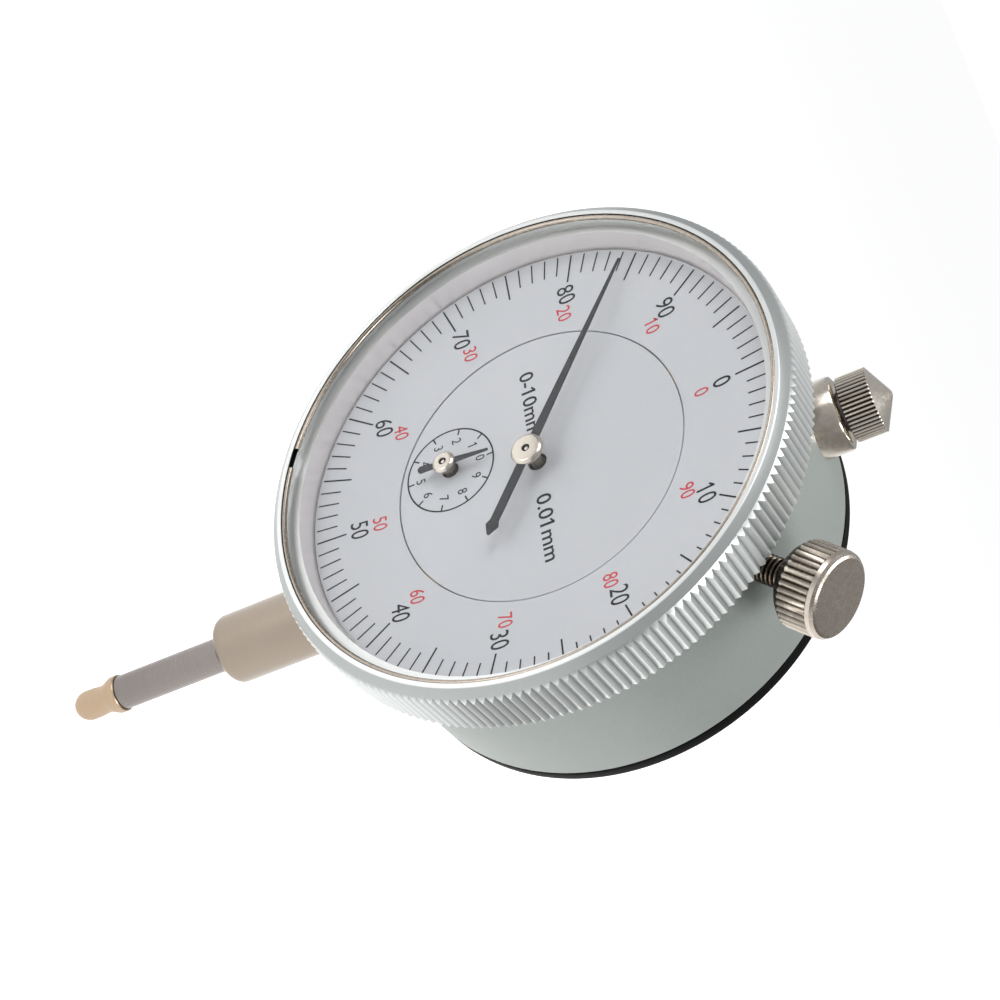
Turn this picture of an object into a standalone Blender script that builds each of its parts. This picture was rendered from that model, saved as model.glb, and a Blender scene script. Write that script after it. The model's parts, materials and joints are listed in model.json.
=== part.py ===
"""Plunger dial indicator, 0-10 mm by 0.01 mm, 58 mm bezel and 8 mm stem, as separate working pieces.

Metres, +Z up along the stem and spindle, dial facing -Y. The origin is on the stem's axis, in the
middle of the length a holder clamps. Every fit below is a named size plus a named clearance.
"""
import math

import bmesh
import bpy
from mathutils import Matrix, Vector

MM = 0.001

# ---- overall -----------------------------------------------------------------------------------
DIAL_Z = 35.0 * MM          # dial centre above the origin
DIAL_Y = -11.7 * MM         # tick plane of the dial, in front of the stem's axis
TRAVEL = 10.0 * MM          # stroke of the plunger
GAP = 0.10 * MM             # clearance between seated pieces
RUN = 0.06 * MM             # radial running clearance of a shaft in its bore

# ---- case --------------------------------------------------------------------------------------
CASE_R = 26.5 * MM
CASE_WALL = 2.0 * MM
CASE_FRONT = 2.6 * MM       # shoulder behind the bezel, measured back from the tick plane
CASE_BACK = 18.8 * MM
SPIGOT_R = CASE_R - 1.5 * MM    # the bezel turns on this step of the case
SPIGOT_FRONT = 1.9 * MM
COVER_T = 1.5 * MM
RECESS_R = CASE_R - 3.5 * MM
LEDGE_R = RECESS_R - 2.0 * MM    # the back plate of the movement rests on this ledge

# ---- bezel, crystal and dial ---------------------------------------------------------------------
BEZEL_R = 29.0 * MM
BEZEL_FRONT = -4.2 * MM
BEZEL_BACK = 2.3 * MM
KNURL_FRONT = -2.9 * MM
LIP_R = 27.3 * MM
BEZEL_WALL_R = 25.95 * MM
CRYSTAL_SEAT = -2.8 * MM
CRYSTAL_T = 0.6 * MM
RING_WIRE = 0.22 * MM
RING_GAP = 5.0              # degrees open in the split ring
DIAL_RING_R = 25.75 * MM
DIAL_T = 0.4 * MM
TICK_R = 25.5 * MM
DISH = 1.05 * MM            # how far the dial ring is dished in at its inner edge
INNER_DIAL_R = 16.1 * MM
LEDGE_T = 1.2 * MM

# ---- stem, sleeve and plunger --------------------------------------------------------------------
STEM_R = 4.0 * MM
SPINDLE_R = 2.0 * MM
STEM_END = 44.6 * MM        # below the dial centre
SLEEVE_TOP = 29.3 * MM
CAP_R = 3.46 * MM
CAP_BASE = 29.65 * MM
CAP_KNURL = 32.8 * MM
CAP_TIP = 34.5 * MM
PLUNGER_END = 59.0 * MM
CONTACT_END = 65.5 * MM
CONTACT_R = 2.2 * MM
PIN_Z = -4.0 * MM           # cross pin of the plunger, from the dial centre

# ---- gear train ----------------------------------------------------------------------------------
RACK_MODULE = TRAVEL / (16 * math.pi)      # sixteen teeth of rack go by in one full stroke
RACK_TEETH = 16
WHEEL_TEETH = 100
PINION_TEETH = 10
TRAIN_CENTRES = 10.34 * MM                 # wheel arbor to centre arbor
TRAIN_MODULE = 2 * TRAIN_CENTRES / (WHEEL_TEETH + PINION_TEETH)
MESH_GAP = 0.05 * MM
RACK_LINE = SPINDLE_R - RACK_MODULE        # pitch line of the rack, beside the spindle's axis
RACK_PINION_R = RACK_TEETH * RACK_MODULE / 2
FIRST_X = -(RACK_LINE + RACK_PINION_R)
FIRST_Z = -math.sqrt(TRAIN_CENTRES ** 2 - FIRST_X ** 2)
RETURN_ANGLE = math.radians(62.0)          # of the return arbor, clockwise from the cap
ARBOR_R = 0.50 * MM
WHEEL_T = 0.5 * MM
FRONT_PLATE_Y = 2.3 * MM
FRONT_PLATE_T = 0.9 * MM
BACK_PLATE_Y = 8.2 * MM
BACK_PLATE_T = 1.1 * MM
PLATE_R = RECESS_R - 0.4 * MM
PILLAR_R = 1.5 * MM
PILLAR_AT = PLATE_R - 3.0 * MM
RETURN_WHEEL_Y = 4.4 * MM
FIRST_WHEEL_Y = 6.6 * MM
SPRING_R = 1.1 * MM
SPRING_WIRE = 0.16 * MM
SPRING_X = 4.6 * MM

# ---- hands ---------------------------------------------------------------------------------------
ZERO_OFFSET = -0.157                       # turns: the main hand rests this far before the zero mark
HAND_LEN = 23.9 * MM
HAND_TAIL = 9.9 * MM
HAND_Y = -1.15 * MM
HAND_T = 0.15 * MM
HUB_R = 1.8 * MM
HUB_FACE = -1.63 * MM
SMALL_LEN = 5.1 * MM
SMALL_TAIL = 3.1 * MM
SMALL_Y = -0.38 * MM
SMALL_HUB_R = 1.3 * MM
SMALL_HUB_FACE = -0.72 * MM

# ---- lock screw and back -------------------------------------------------------------------------
LOCK_ANGLE = math.radians(43.8)            # clockwise from the cap
LOCK_Y = 6.0 * MM
LOCK_CLEAR = 0.7 * MM       # the knob stands clear of the bezel
LOCK_KNOB_R = 4.35 * MM
LOCK_KNOB_L = 5.6 * MM
LOCK_FACE = BEZEL_R + LOCK_CLEAR + LOCK_KNOB_L
LOCK_THREAD_R = 1.5 * MM
SHOE_W = 3.2 * MM           # brake shoe: width, start and length from front to back, outer reach
SHOE_Y = 1.0 * MM
SHOE_L = 3.1 * MM
SHOE_OUT = SPIGOT_R - 0.05 * MM
LUG_HOLE_R = 3.25 * MM
LUG_W = 5.0 * MM
LUG_R = 6.5 * MM
LUG_REACH = 8.5 * MM
SCREW_R = 1.0 * MM
SCREW_HEAD_R = 1.9 * MM
SCREW_AT = CASE_R - 3.5 * MM

SEGS = 48            # facets round the large turned pieces

PARTS = None
CUTTERS = None


# ---- helpers -------------------------------------------------------------------------------------
def clear_scene():
    """Remove everything the session starts with."""
    for ob in list(bpy.data.objects):
        bpy.data.objects.remove(ob, do_unlink=True)


def collection(name, hidden=False):
    """Make a collection for the parts or the cutters."""
    col = bpy.data.collections.new(name)
    bpy.context.scene.collection.children.link(col)
    col.hide_render = hidden
    return col


def material(name, colour, rough, metal, alpha=1.0):
    """Return a Principled material of the given colour and finish."""
    mat = bpy.data.materials.get(name)
    if mat is None:
        mat = bpy.data.materials.new(name)
        mat.use_nodes = True
        shader = mat.node_tree.nodes["Principled BSDF"]
        shader.inputs["Base Color"].default_value = (*colour, 1.0)
        shader.inputs["Roughness"].default_value = rough
        shader.inputs["Metallic"].default_value = metal
        shader.inputs["Alpha"].default_value = alpha
    return mat


FINISH = {
    "case": ((0.60, 0.62, 0.61), 0.42, 0.8), "bezel": ((0.78, 0.79, 0.79), 0.3, 1.0),
    "cover": ((0.02, 0.02, 0.02), 0.5, 0.0), "nickel": ((0.62, 0.58, 0.52), 0.25, 1.0),
    "steel": ((0.45, 0.44, 0.44), 0.28, 1.0), "crystal": ((0.9, 0.92, 0.92), 0.05, 0.0),
    "dial": ((0.60, 0.63, 0.67), 0.45, 0.1), "black": ((0.03, 0.03, 0.035), 0.45, 0.2),
    "brass": ((0.62, 0.46, 0.22), 0.3, 1.0), "contact": ((0.58, 0.47, 0.36), 0.35, 1.0),
}


def new_object(name, mesh, finish, smooth=True):
    """Link a mesh as a named part in its finish, normals outward."""
    bm = bmesh.new()
    bm.from_mesh(mesh)
    bmesh.ops.remove_doubles(bm, verts=bm.verts, dist=1e-7)
    bmesh.ops.recalc_face_normals(bm, faces=bm.faces)
    bm.to_mesh(mesh)
    bm.free()
    ob = bpy.data.objects.new(name, mesh)
    PARTS.objects.link(ob)
    mesh.materials.clear()
    mesh.materials.append(material(finish, *FINISH[finish]))
    if smooth:
        mesh.shade_smooth()
        mesh.set_sharp_from_angle(angle=math.radians(32))
    return ob


def baked(ob):
    """Return the evaluated mesh of an object and remove the object."""
    dg = bpy.context.evaluated_depsgraph_get()
    mesh = bpy.data.meshes.new_from_object(ob.evaluated_get(dg), depsgraph=dg)
    mesh.transform(ob.matrix_world)
    bpy.data.objects.remove(ob, do_unlink=True)
    return mesh


def axis_matrix(axis, at):
    """Turn local +Z onto axis and move to the point at."""
    rot = Vector((0, 0, 1)).rotation_difference(Vector(axis)).to_matrix().to_4x4()
    return Matrix.Translation(Vector(at)) @ rot


def turned_mesh(profile, axis=(0, 0, 1), at=(0, 0, 0), closed=False, steps=SEGS):
    """Turn (radius, height) points about an axis; an open profile starts and ends on the axis."""
    mesh = bpy.data.meshes.new("profile")
    n = len(profile)
    edges = [(i, (i + 1) % n) for i in range(n if closed else n - 1)]
    mesh.from_pydata([(r, 0, h) for r, h in profile], edges, [])
    ob = bpy.data.objects.new("profile", mesh)
    bpy.context.scene.collection.objects.link(ob)
    mod = ob.modifiers.new("Screw", "SCREW")
    mod.steps = steps
    mod.render_steps = steps
    mod.use_merge_vertices = True
    mod.merge_threshold = 0.00001
    out = baked(ob)
    out.transform(axis_matrix(axis, at))
    return out


def outline_mesh(loops, depth, axis=(0, 0, 1), at=(0, 0, 0)):
    """Extrude closed 2D loops (the later ones are holes) from height 0 to depth along the axis."""
    cu = bpy.data.curves.new("outline", "CURVE")
    cu.dimensions = "2D"
    cu.fill_mode = "BOTH"
    cu.extrude = depth / 2
    for loop in loops:
        sp = cu.splines.new("POLY")
        sp.points.add(len(loop) - 1)
        for pt, (x, y) in zip(sp.points, loop):
            pt.co = (x, y, 0, 1)
        sp.use_cyclic_u = True
    ob = bpy.data.objects.new("outline", cu)
    bpy.context.scene.collection.objects.link(ob)
    ob.location = (0, 0, depth / 2)
    bpy.context.view_layer.update()
    out = baked(ob)
    out.transform(axis_matrix(axis, at))
    return out


def wire_mesh(points, radius, resolution=2):
    """Round wire with flat capped ends along the points."""
    cu = bpy.data.curves.new("wire", "CURVE")
    cu.dimensions = "3D"
    cu.bevel_depth = radius
    cu.bevel_resolution = resolution
    cu.use_fill_caps = True
    sp = cu.splines.new("POLY")
    sp.points.add(len(points) - 1)
    for pt, co in zip(sp.points, points):
        pt.co = (*co, 1)
    ob = bpy.data.objects.new("wire", cu)
    bpy.context.scene.collection.objects.link(ob)
    bpy.context.view_layer.update()
    return baked(ob)


def box_mesh(low, high):
    """Axis-aligned block between two corners."""
    bm = bmesh.new()
    bmesh.ops.create_cube(bm, size=1.0)
    size = Vector(high) - Vector(low)
    mid = (Vector(high) + Vector(low)) / 2
    bmesh.ops.scale(bm, vec=size, verts=bm.verts)
    bmesh.ops.translate(bm, vec=mid, verts=bm.verts)
    mesh = bpy.data.meshes.new("box")
    bm.to_mesh(mesh)
    bm.free()
    return mesh


def boolean(ob, mesh, operation="DIFFERENCE"):
    """Cut or join a mesh with an object and bake the result."""
    bm = bmesh.new()
    bm.from_mesh(mesh)
    bmesh.ops.remove_doubles(bm, verts=bm.verts, dist=1e-7)
    bmesh.ops.recalc_face_normals(bm, faces=bm.faces)
    bm.to_mesh(mesh)
    bm.free()
    tool = bpy.data.objects.new(ob.name + "_cut", mesh)
    tool.hide_render = True
    tool.display_type = "WIRE"
    CUTTERS.objects.link(tool)
    mod = ob.modifiers.new("cut", "BOOLEAN")
    mod.operation = operation
    mod.solver = "EXACT"
    mod.object = tool
    bpy.context.view_layer.update()
    dg = bpy.context.evaluated_depsgraph_get()
    result = bpy.data.meshes.new_from_object(ob.evaluated_get(dg), depsgraph=dg)
    ob.modifiers.clear()
    clean = bmesh.new()
    clean.from_mesh(result)
    bmesh.ops.remove_doubles(clean, verts=clean.verts, dist=2e-6)
    bmesh.ops.dissolve_degenerate(clean, edges=clean.edges, dist=1e-7)
    clean.to_mesh(result)
    clean.free()
    ob.data = result
    result.shade_smooth()
    result.set_sharp_from_angle(angle=math.radians(32))
    bpy.data.objects.remove(tool, do_unlink=True)
    return ob


def rod(r, length, axis, at, steps=24):
    """Plain cylinder mesh from at along the axis."""
    return turned_mesh([(0, length), (r, length), (r, 0), (0, 0)], axis, at, steps=steps)


def dial_point(x, depth, z):
    """Point given across, behind the tick plane and above the dial centre."""
    return (x, DIAL_Y + depth, DIAL_Z + z)


def polar(angle, radius):
    """Across and up from the dial centre at an angle clockwise from the cap."""
    return radius * math.sin(angle), radius * math.cos(angle)


BACK = (0, 1, 0)


def seat(ob, point):
    """Put the object's origin at a point without moving its mesh."""
    ob.data.transform(Matrix.Translation(-Vector(point)))
    ob.location = point
    return ob


def radial(angle, y):
    """Axis and start point of a line out from the dial centre at a depth."""
    return (math.sin(angle), 0, math.cos(angle)), dial_point(0, y, 0)


# ---- case and fixed pieces -----------------------------------------------------------------------
def build_case():
    """Cup of the case with a front spigot for the bezel, open at the back for the cover."""
    inner = CASE_R - CASE_WALL
    ledge = BACK_PLATE_Y + BACK_PLATE_T + GAP
    prof = [
        (CASE_R, CASE_FRONT), (CASE_R, CASE_BACK), (inner, CASE_BACK),
        (inner, ledge + 1.0 * MM), (LEDGE_R, ledge + 1.0 * MM), (LEDGE_R, ledge), (RECESS_R, ledge),
        (RECESS_R, SPIGOT_FRONT), (SPIGOT_R, SPIGOT_FRONT), (SPIGOT_R, CASE_FRONT)]
    ob = new_object("case", turned_mesh(prof, BACK, dial_point(0, 0, 0), closed=True), "case")
    for radius, z0, z1 in ((STEM_R + GAP, -CASE_R - MM, -CASE_R + 4 * MM),
                           (STEM_R + GAP, CASE_R - 4 * MM, CASE_R + MM),
                           (SPINDLE_R + 4 * GAP, -CASE_R + 3 * MM, -LEDGE_R + 2 * MM),
                           (SPINDLE_R + 4 * GAP, LEDGE_R - 2 * MM, CASE_R - 3 * MM)):
        boolean(ob, rod(radius, z1 - z0, (0, 0, 1), (0, 0, DIAL_Z + z0), steps=32))
    axis, at = radial(LOCK_ANGLE, LOCK_Y)
    start = Vector(at) + Vector(axis) * (RECESS_R - MM)
    boolean(ob, rod(LOCK_THREAD_R + GAP, 5 * MM, axis, start))
    pocket = box_mesh((-SHOE_W / 2 - GAP, -SHOE_Y - SHOE_L - GAP, RECESS_R - MM),
                      (SHOE_W / 2 + GAP, -SHOE_Y + GAP, SHOE_OUT + GAP))
    pocket.transform(axis_matrix(axis, dial_point(0, 0, 0)) @ Matrix.Rotation(math.pi, 4, "Z"))
    boolean(ob, pocket)
    for i in range(4):
        x, z = polar(math.radians(45 + 90 * i), SCREW_AT)
        boss = rod(1.9 * MM, 5.0 * MM, BACK, dial_point(x, CASE_BACK - 5.3 * MM, z))
        boolean(ob, boss, "UNION")
        boolean(ob, rod(SCREW_R + GAP, 4.2 * MM, BACK, dial_point(x, CASE_BACK - 4.4 * MM, z), 16))
    return ob


def build_stem():
    """Clamping stem: an 8 mm tube seated in the case wall, with a rounded lower lip."""
    bore = SPINDLE_R + RUN
    z = [DIAL_Z + v for v in (-CASE_R + 3.2 * MM, -STEM_END)]
    lip = 1.25 * MM
    curve = [(STEM_R - lip * (1 - math.cos(t)), z[1] + lip * (1 - math.sin(t)))
             for t in (math.radians(a) for a in (0, 20, 40, 60, 80))]
    prof = [(STEM_R, z[0])] + curve + [
        (bore + 0.3 * MM, z[1]), (bore, z[1] + 0.3 * MM), (bore, z[0])]
    return new_object("stem", turned_mesh(prof, closed=True, steps=32), "nickel")


def build_sleeve():
    """Guide sleeve on top of the case."""
    bore = SPINDLE_R + RUN
    low = DIAL_Z + CASE_R - 3.2 * MM
    top = DIAL_Z + SLEEVE_TOP
    prof = [(bore, top), (STEM_R - 0.35 * MM, top), (STEM_R, top - 0.35 * MM), (STEM_R, low),
            (bore, low)]
    return new_object("upper_sleeve", turned_mesh(prof, closed=True, steps=32), "nickel")


def build_cover():
    """Black back cover with its lug."""
    y0 = CASE_BACK + GAP
    face = y0 + COVER_T
    prof = [(0, face), (CASE_R - 0.4 * MM, face), (CASE_R, face - 0.4 * MM), (CASE_R, y0), (0, y0)]
    ob = new_object("back_cover", turned_mesh(prof, BACK, dial_point(0, 0, 0)), "cover")
    arc = [(LUG_R * math.cos(a), LUG_REACH + LUG_R * math.sin(a))
           for a in (math.pi * k / 16 for k in range(17))]
    loop = [(LUG_R, -0.5 * MM)] + arc + [(-LUG_R, -0.5 * MM)]
    lug = outline_mesh([loop], LUG_W)
    turn = Matrix(((0, 0, 1, 0), (0, 1, 0, 0), (1, 0, 0, 0), (0, 0, 0, 1)))
    lug.transform(turn)
    lug.transform(Matrix.Translation((-LUG_W / 2, DIAL_Y + face, DIAL_Z)))
    boolean(ob, lug, "UNION")
    hole = rod(LUG_HOLE_R, 2 * LUG_W, (1, 0, 0),
               (-LUG_W, DIAL_Y + face + LUG_REACH, DIAL_Z), steps=32)
    boolean(ob, hole)
    for i in range(4):
        x, z = polar(math.radians(45 + 90 * i), SCREW_AT)
        boolean(ob, rod(SCREW_R + GAP, 4 * MM, BACK, dial_point(x, y0 - MM, z), 24))
        boolean(ob, rod(SCREW_HEAD_R + GAP, 2 * MM, BACK, dial_point(x, face - 0.7 * MM, z), 24))
    return ob


def build_cover_screws():
    """Four slotted countersunk screws of the back cover."""
    face = CASE_BACK + GAP + COVER_T
    for i in range(4):
        x, z = polar(math.radians(45 + 90 * i), SCREW_AT)
        prof = [(0, 0), (SCREW_R - GAP, 0), (SCREW_R - GAP, 4.5 * MM), (SCREW_HEAD_R, 4.5 * MM),
                (SCREW_HEAD_R, 5.0 * MM), (0, 5.0 * MM)]
        at = dial_point(x, face - 5.1 * MM, z)
        ob = new_object("cover_screw_%d" % (i + 1), turned_mesh(prof, BACK, at, steps=16), "nickel")
        top = at[1] + 5.0 * MM
        boolean(ob, box_mesh((x - 3 * MM, top - 0.25 * MM, DIAL_Z + z - 0.2 * MM),
                             (x + 3 * MM, top + MM, DIAL_Z + z + 0.2 * MM)))
        seat(ob, at)


# ---- bezel group ---------------------------------------------------------------------------------
def build_bezel():
    """Turning rim: lip, ring groove, crystal seat, dial ledge and the bore on the case spigot."""
    bore = SPIGOT_R + RUN + GAP
    ledge = DIAL_T + GAP
    ring_y = CRYSTAL_SEAT - GAP - CRYSTAL_T
    groove = LIP_R + 0.25 * MM
    prof = [
        (LIP_R, BEZEL_FRONT), (LIP_R + 0.45 * MM, BEZEL_FRONT), (BEZEL_R - 0.55 * MM, -3.85 * MM),
        (BEZEL_R, KNURL_FRONT), (BEZEL_R, BEZEL_BACK), (bore, BEZEL_BACK), (bore, ledge + LEDGE_T),
        (bore, ledge), (BEZEL_WALL_R, ledge), (BEZEL_WALL_R, CRYSTAL_SEAT), (LIP_R, CRYSTAL_SEAT),
        (LIP_R, ring_y), (groove, ring_y), (groove, BEZEL_FRONT + 0.12 * MM),
        (LIP_R, BEZEL_FRONT + 0.12 * MM)]
    mesh = turned_mesh(prof, BACK, dial_point(0, 0, 0), closed=True, steps=SEGS)
    return seat(new_object("bezel", mesh, "bezel"), dial_point(0, 0, 0))


def build_crystal():
    """Flat clear crystal resting on the bezel's seat."""
    back = CRYSTAL_SEAT - GAP
    r = LIP_R - 0.15 * MM
    prof = [(0, back - CRYSTAL_T), (r, back - CRYSTAL_T), (r, back), (0, back)]
    mesh = turned_mesh(prof, BACK, dial_point(0, 0, 0), steps=SEGS)
    return seat(new_object("crystal", mesh, "crystal"), dial_point(0, 0, 0))


def build_crystal_ring():
    """Split wire ring sprung into the groove in front of the crystal."""
    y = CRYSTAL_SEAT - GAP - CRYSTAL_T - 0.32 * MM
    r = LIP_R + 0.25 * MM - RING_WIRE - 0.08 * MM
    middle = math.radians(194.0)
    half = math.radians(RING_GAP / 2)
    n = 48
    pts = []
    for k in range(n + 1):
        a = middle + half + (2 * math.pi - 2 * half) * k / n
        x, z = polar(a, r)
        pts.append(dial_point(x, y, z))
    ob = new_object("crystal_ring", wire_mesh(pts, RING_WIRE, 1), "nickel")
    return seat(ob, dial_point(0, 0, 0))


def build_dial_ring():
    """Dished outer dial that carries the hundred divisions and turns with the bezel."""
    inner = INNER_DIAL_R
    mid = TICK_R - 3.4 * MM
    prof = [(inner, DISH), (mid, 0.28 * MM), (TICK_R, 0.0), (DIAL_RING_R, 0.0), (DIAL_RING_R, DIAL_T),
            (TICK_R, DIAL_T), (mid, 0.28 * MM + DIAL_T), (inner, DISH + DIAL_T)]
    mesh = turned_mesh(prof, BACK, dial_point(0, 0, 0), closed=True, steps=SEGS)
    return seat(new_object("dial_ring", mesh, "dial"), dial_point(0, 0, 0))


# ---- dial and movement -----------------------------------------------------------------------------
def build_inner_dial():
    """Fixed middle of the dial with clearance holes for the two hand arbors."""
    y0 = DISH + 0.05 * MM
    r = INNER_DIAL_R - 0.15 * MM
    at = dial_point(0, 0, 0)
    mesh = turned_mesh([(0, y0), (r, y0), (r, y0 + DIAL_T), (0, y0 + DIAL_T)], BACK, at)
    ob = new_object("inner_dial", mesh, "dial")
    for x, z in ((0, 0), (FIRST_X, FIRST_Z)):
        boolean(ob, rod(1.0 * MM, 2 * MM, BACK, dial_point(x, y0 - MM, z), 32))
    return ob


def arbor_spots():
    """Centres of the centre, first and return arbors."""
    return [(0.0, 0.0), (FIRST_X, FIRST_Z), polar(RETURN_ANGLE, TRAIN_CENTRES)]


def pillar_spots():
    """Centres of the three pillars between the plates."""
    return [polar(math.radians(a), PILLAR_AT) for a in (0, 125, 235)]


def build_plates():
    """Front and back plates of the movement with their pivot holes."""
    for name, y0, t, radius in (("front_plate", FRONT_PLATE_Y, FRONT_PLATE_T, PLATE_R),
                                ("back_plate", BACK_PLATE_Y, BACK_PLATE_T, PLATE_R)):
        prof = [(0, y0), (radius, y0), (radius, y0 + t), (0, y0 + t)]
        ob = new_object(name, turned_mesh(prof, BACK, dial_point(0, 0, 0)), "brass")
        for x, z in arbor_spots():
            boolean(ob, rod(1.25 * MM, t + 2 * MM, BACK, dial_point(x, y0 - MM, z), 24))
        for x, z in pillar_spots():
            boolean(ob, rod(0.8 * MM, t + 2 * MM, BACK, dial_point(x, y0 - MM, z), 24))
    return ob


def build_bushes():
    """Six pressed bushes the arbor pivots run in."""
    label = ("centre", "first", "return")
    for (x, z), name in zip(arbor_spots(), label):
        for side, y0, t in (("front", FRONT_PLATE_Y, FRONT_PLATE_T),
                            ("back", BACK_PLATE_Y, BACK_PLATE_T)):
            r0 = ARBOR_R + RUN
            r1 = 1.25 * MM - 0.04 * MM
            prof = [(r0, y0), (r1, y0), (r1, y0 + t), (r0, y0 + t)]
            mesh = turned_mesh(prof, BACK, dial_point(x, 0, z), closed=True, steps=12)
            new_object("bush_%s_%s" % (name, side), mesh, "contact")


def build_pillars():
    """Three pillars with reduced ends, and a screw into the front of each."""
    y0 = FRONT_PLATE_Y + FRONT_PLATE_T + 0.03 * MM
    y1 = BACK_PLATE_Y - 0.03 * MM
    for i, (x, z) in enumerate(pillar_spots(), 1):
        end = BACK_PLATE_Y + BACK_PLATE_T
        hole = 0.8 * MM - RUN
        prof = [(0, y0), (PILLAR_R, y0), (PILLAR_R, y1), (hole, y1), (hole, end), (0, end)]
        ob = new_object("pillar_%d" % i, turned_mesh(prof, BACK, dial_point(x, 0, z), steps=16),
                        "brass")
        boolean(ob, rod(0.7 * MM, 2.4 * MM, BACK, dial_point(x, y0 - MM, z), 16))
        head = FRONT_PLATE_Y - 0.35 * MM
        prof = [(0, head), (1.3 * MM, head), (1.3 * MM, FRONT_PLATE_Y - 0.03 * MM),
                (0.62 * MM, FRONT_PLATE_Y - 0.03 * MM), (0.62 * MM, y0 + 1.2 * MM), (0, y0 + 1.2 * MM)]
        new_object("plate_screw_%d" % i, turned_mesh(prof, BACK, dial_point(x, 0, z), steps=16),
                   "steel")


def gear_loop(radius, teeth, depth):
    """Outline of a toothed wheel whose tips touch the given radius."""
    loop = []
    for k in range(teeth):
        for part, r in ((0.0, radius - depth), (0.5, radius)):
            a = 2 * math.pi * (k + part) / teeth
            loop.append((r * math.cos(a), r * math.sin(a)))
    return loop


def wheel(name, x, z, y0, finish):
    """Wheel blank with a centre hole and four windows, its rim just inside the pitch line."""
    tip = WHEEL_TEETH * TRAIN_MODULE / 2 - MESH_GAP
    hole = [((ARBOR_R + 0.02 * MM) * math.cos(a), (ARBOR_R + 0.02 * MM) * math.sin(a))
            for a in (2 * math.pi * k / 16 for k in range(16))]
    windows = []
    for s in range(4):
        mid = math.pi / 2 * s + math.pi / 4
        span = math.radians(32)
        turns = [span * (k / 3 - 1) for k in range(7)]
        outer = [(0.80 * tip * math.cos(mid + t), 0.80 * tip * math.sin(mid + t)) for t in turns]
        inner = [(0.36 * tip * math.cos(mid - t), 0.36 * tip * math.sin(mid - t)) for t in turns]
        windows.append(outer + inner)
    rim = [(tip * math.cos(a), tip * math.sin(a)) for a in (2 * math.pi * k / 60 for k in range(60))]
    loops = [rim, hole] + windows
    mesh = outline_mesh(loops, WHEEL_T, BACK, dial_point(x, y0, z))
    return seat(new_object(name, mesh, finish, smooth=False), dial_point(x, y0, z))


def arbor(name, x, z, y0, y1, pinion, finish="steel"):
    """Round arbor with a solid pinion (tip radius, teeth, start, end)."""
    r, teeth, p0, p1 = pinion
    tip = r - MESH_GAP
    prof = [(0, y0), (ARBOR_R, y0), (ARBOR_R, y1), (0, y1)]
    ob = new_object(name, turned_mesh(prof, BACK, dial_point(x, 0, z), steps=24), finish)
    depth = min(0.35 * MM, tip - ARBOR_R - 0.08 * MM)
    leaf = outline_mesh([gear_loop(tip, teeth, depth)], p1 - p0, BACK, dial_point(x, p0, z))
    boolean(ob, leaf, "UNION")
    return seat(ob, dial_point(x, y0, z))


def build_train():
    """Three arbors and two wheels of the train."""
    centre, first, ret = arbor_spots()
    r10 = PINION_TEETH * TRAIN_MODULE / 2
    front = FRONT_PLATE_Y
    arbor("centre_pinion", *centre, HAND_Y + 0.2 * MM, BACK_PLATE_Y + BACK_PLATE_T - 0.1 * MM,
          (r10, PINION_TEETH, front + 1.6 * MM, BACK_PLATE_Y - 0.5 * MM))
    arbor("rack_pinion", *first, SMALL_Y + 0.2 * MM, 14.6 * MM,
          (RACK_PINION_R, RACK_TEETH, 10.2 * MM, 13.2 * MM))
    arbor("return_pinion", *ret, front + 0.1 * MM, BACK_PLATE_Y + BACK_PLATE_T - 0.1 * MM,
          (ARBOR_R + 0.45 * MM, PINION_TEETH, 6.2 * MM, 7.6 * MM))
    wheel("first_wheel", *first, FIRST_WHEEL_Y, "brass")
    wheel("return_wheel", *ret, RETURN_WHEEL_Y, "brass")


def build_hair_spring():
    """Flat spiral that loads the return wheel and its stud on the back plate."""
    x0, z0 = polar(RETURN_ANGLE, TRAIN_CENTRES)
    y = 5.6 * MM
    pts = []
    turns, n = 3.0, 54
    r0, r1 = 1.15 * MM, 4.6 * MM
    for k in range(n + 1):
        a = 2 * math.pi * turns * k / n
        r = r0 + (r1 - r0) * k / n
        pts.append(dial_point(x0 + r * math.cos(a), y, z0 + r * math.sin(a)))
    new_object("hair_spring", wire_mesh(pts, 0.10 * MM, 0), "steel")
    x = x0 + r1 + 0.55 * MM
    prof = [(0, 5.2 * MM), (0.35 * MM, 5.2 * MM), (0.35 * MM, BACK_PLATE_Y - 0.03 * MM),
            (0, BACK_PLATE_Y - 0.03 * MM)]
    new_object("hair_spring_stud", turned_mesh(prof, BACK, dial_point(x, 0, z0), steps=16), "brass")


def build_rack_bracket():
    """Bracket behind the back plate that carries the rear pivot of the rack arbor."""
    y0 = BACK_PLATE_Y + BACK_PLATE_T + 0.03 * MM
    x0, x1 = FIRST_X - 6.0 * MM, FIRST_X + 1.2 * MM
    z0, z1 = FIRST_Z - 2.0 * MM, FIRST_Z + 2.0 * MM
    lo, hi = dial_point(x0, y0, z0), dial_point(x0 + 3.0 * MM, 13.5 * MM, z1)
    ob = new_object("rack_bracket", box_mesh(lo, hi), "brass", smooth=False)
    boolean(ob, box_mesh(dial_point(x0, 13.4 * MM, z0), dial_point(x1, 14.9 * MM, z1)), "UNION")
    boolean(ob, rod(ARBOR_R + RUN, 3 * MM, BACK, dial_point(FIRST_X, 13.0 * MM, FIRST_Z), 24))


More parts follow.
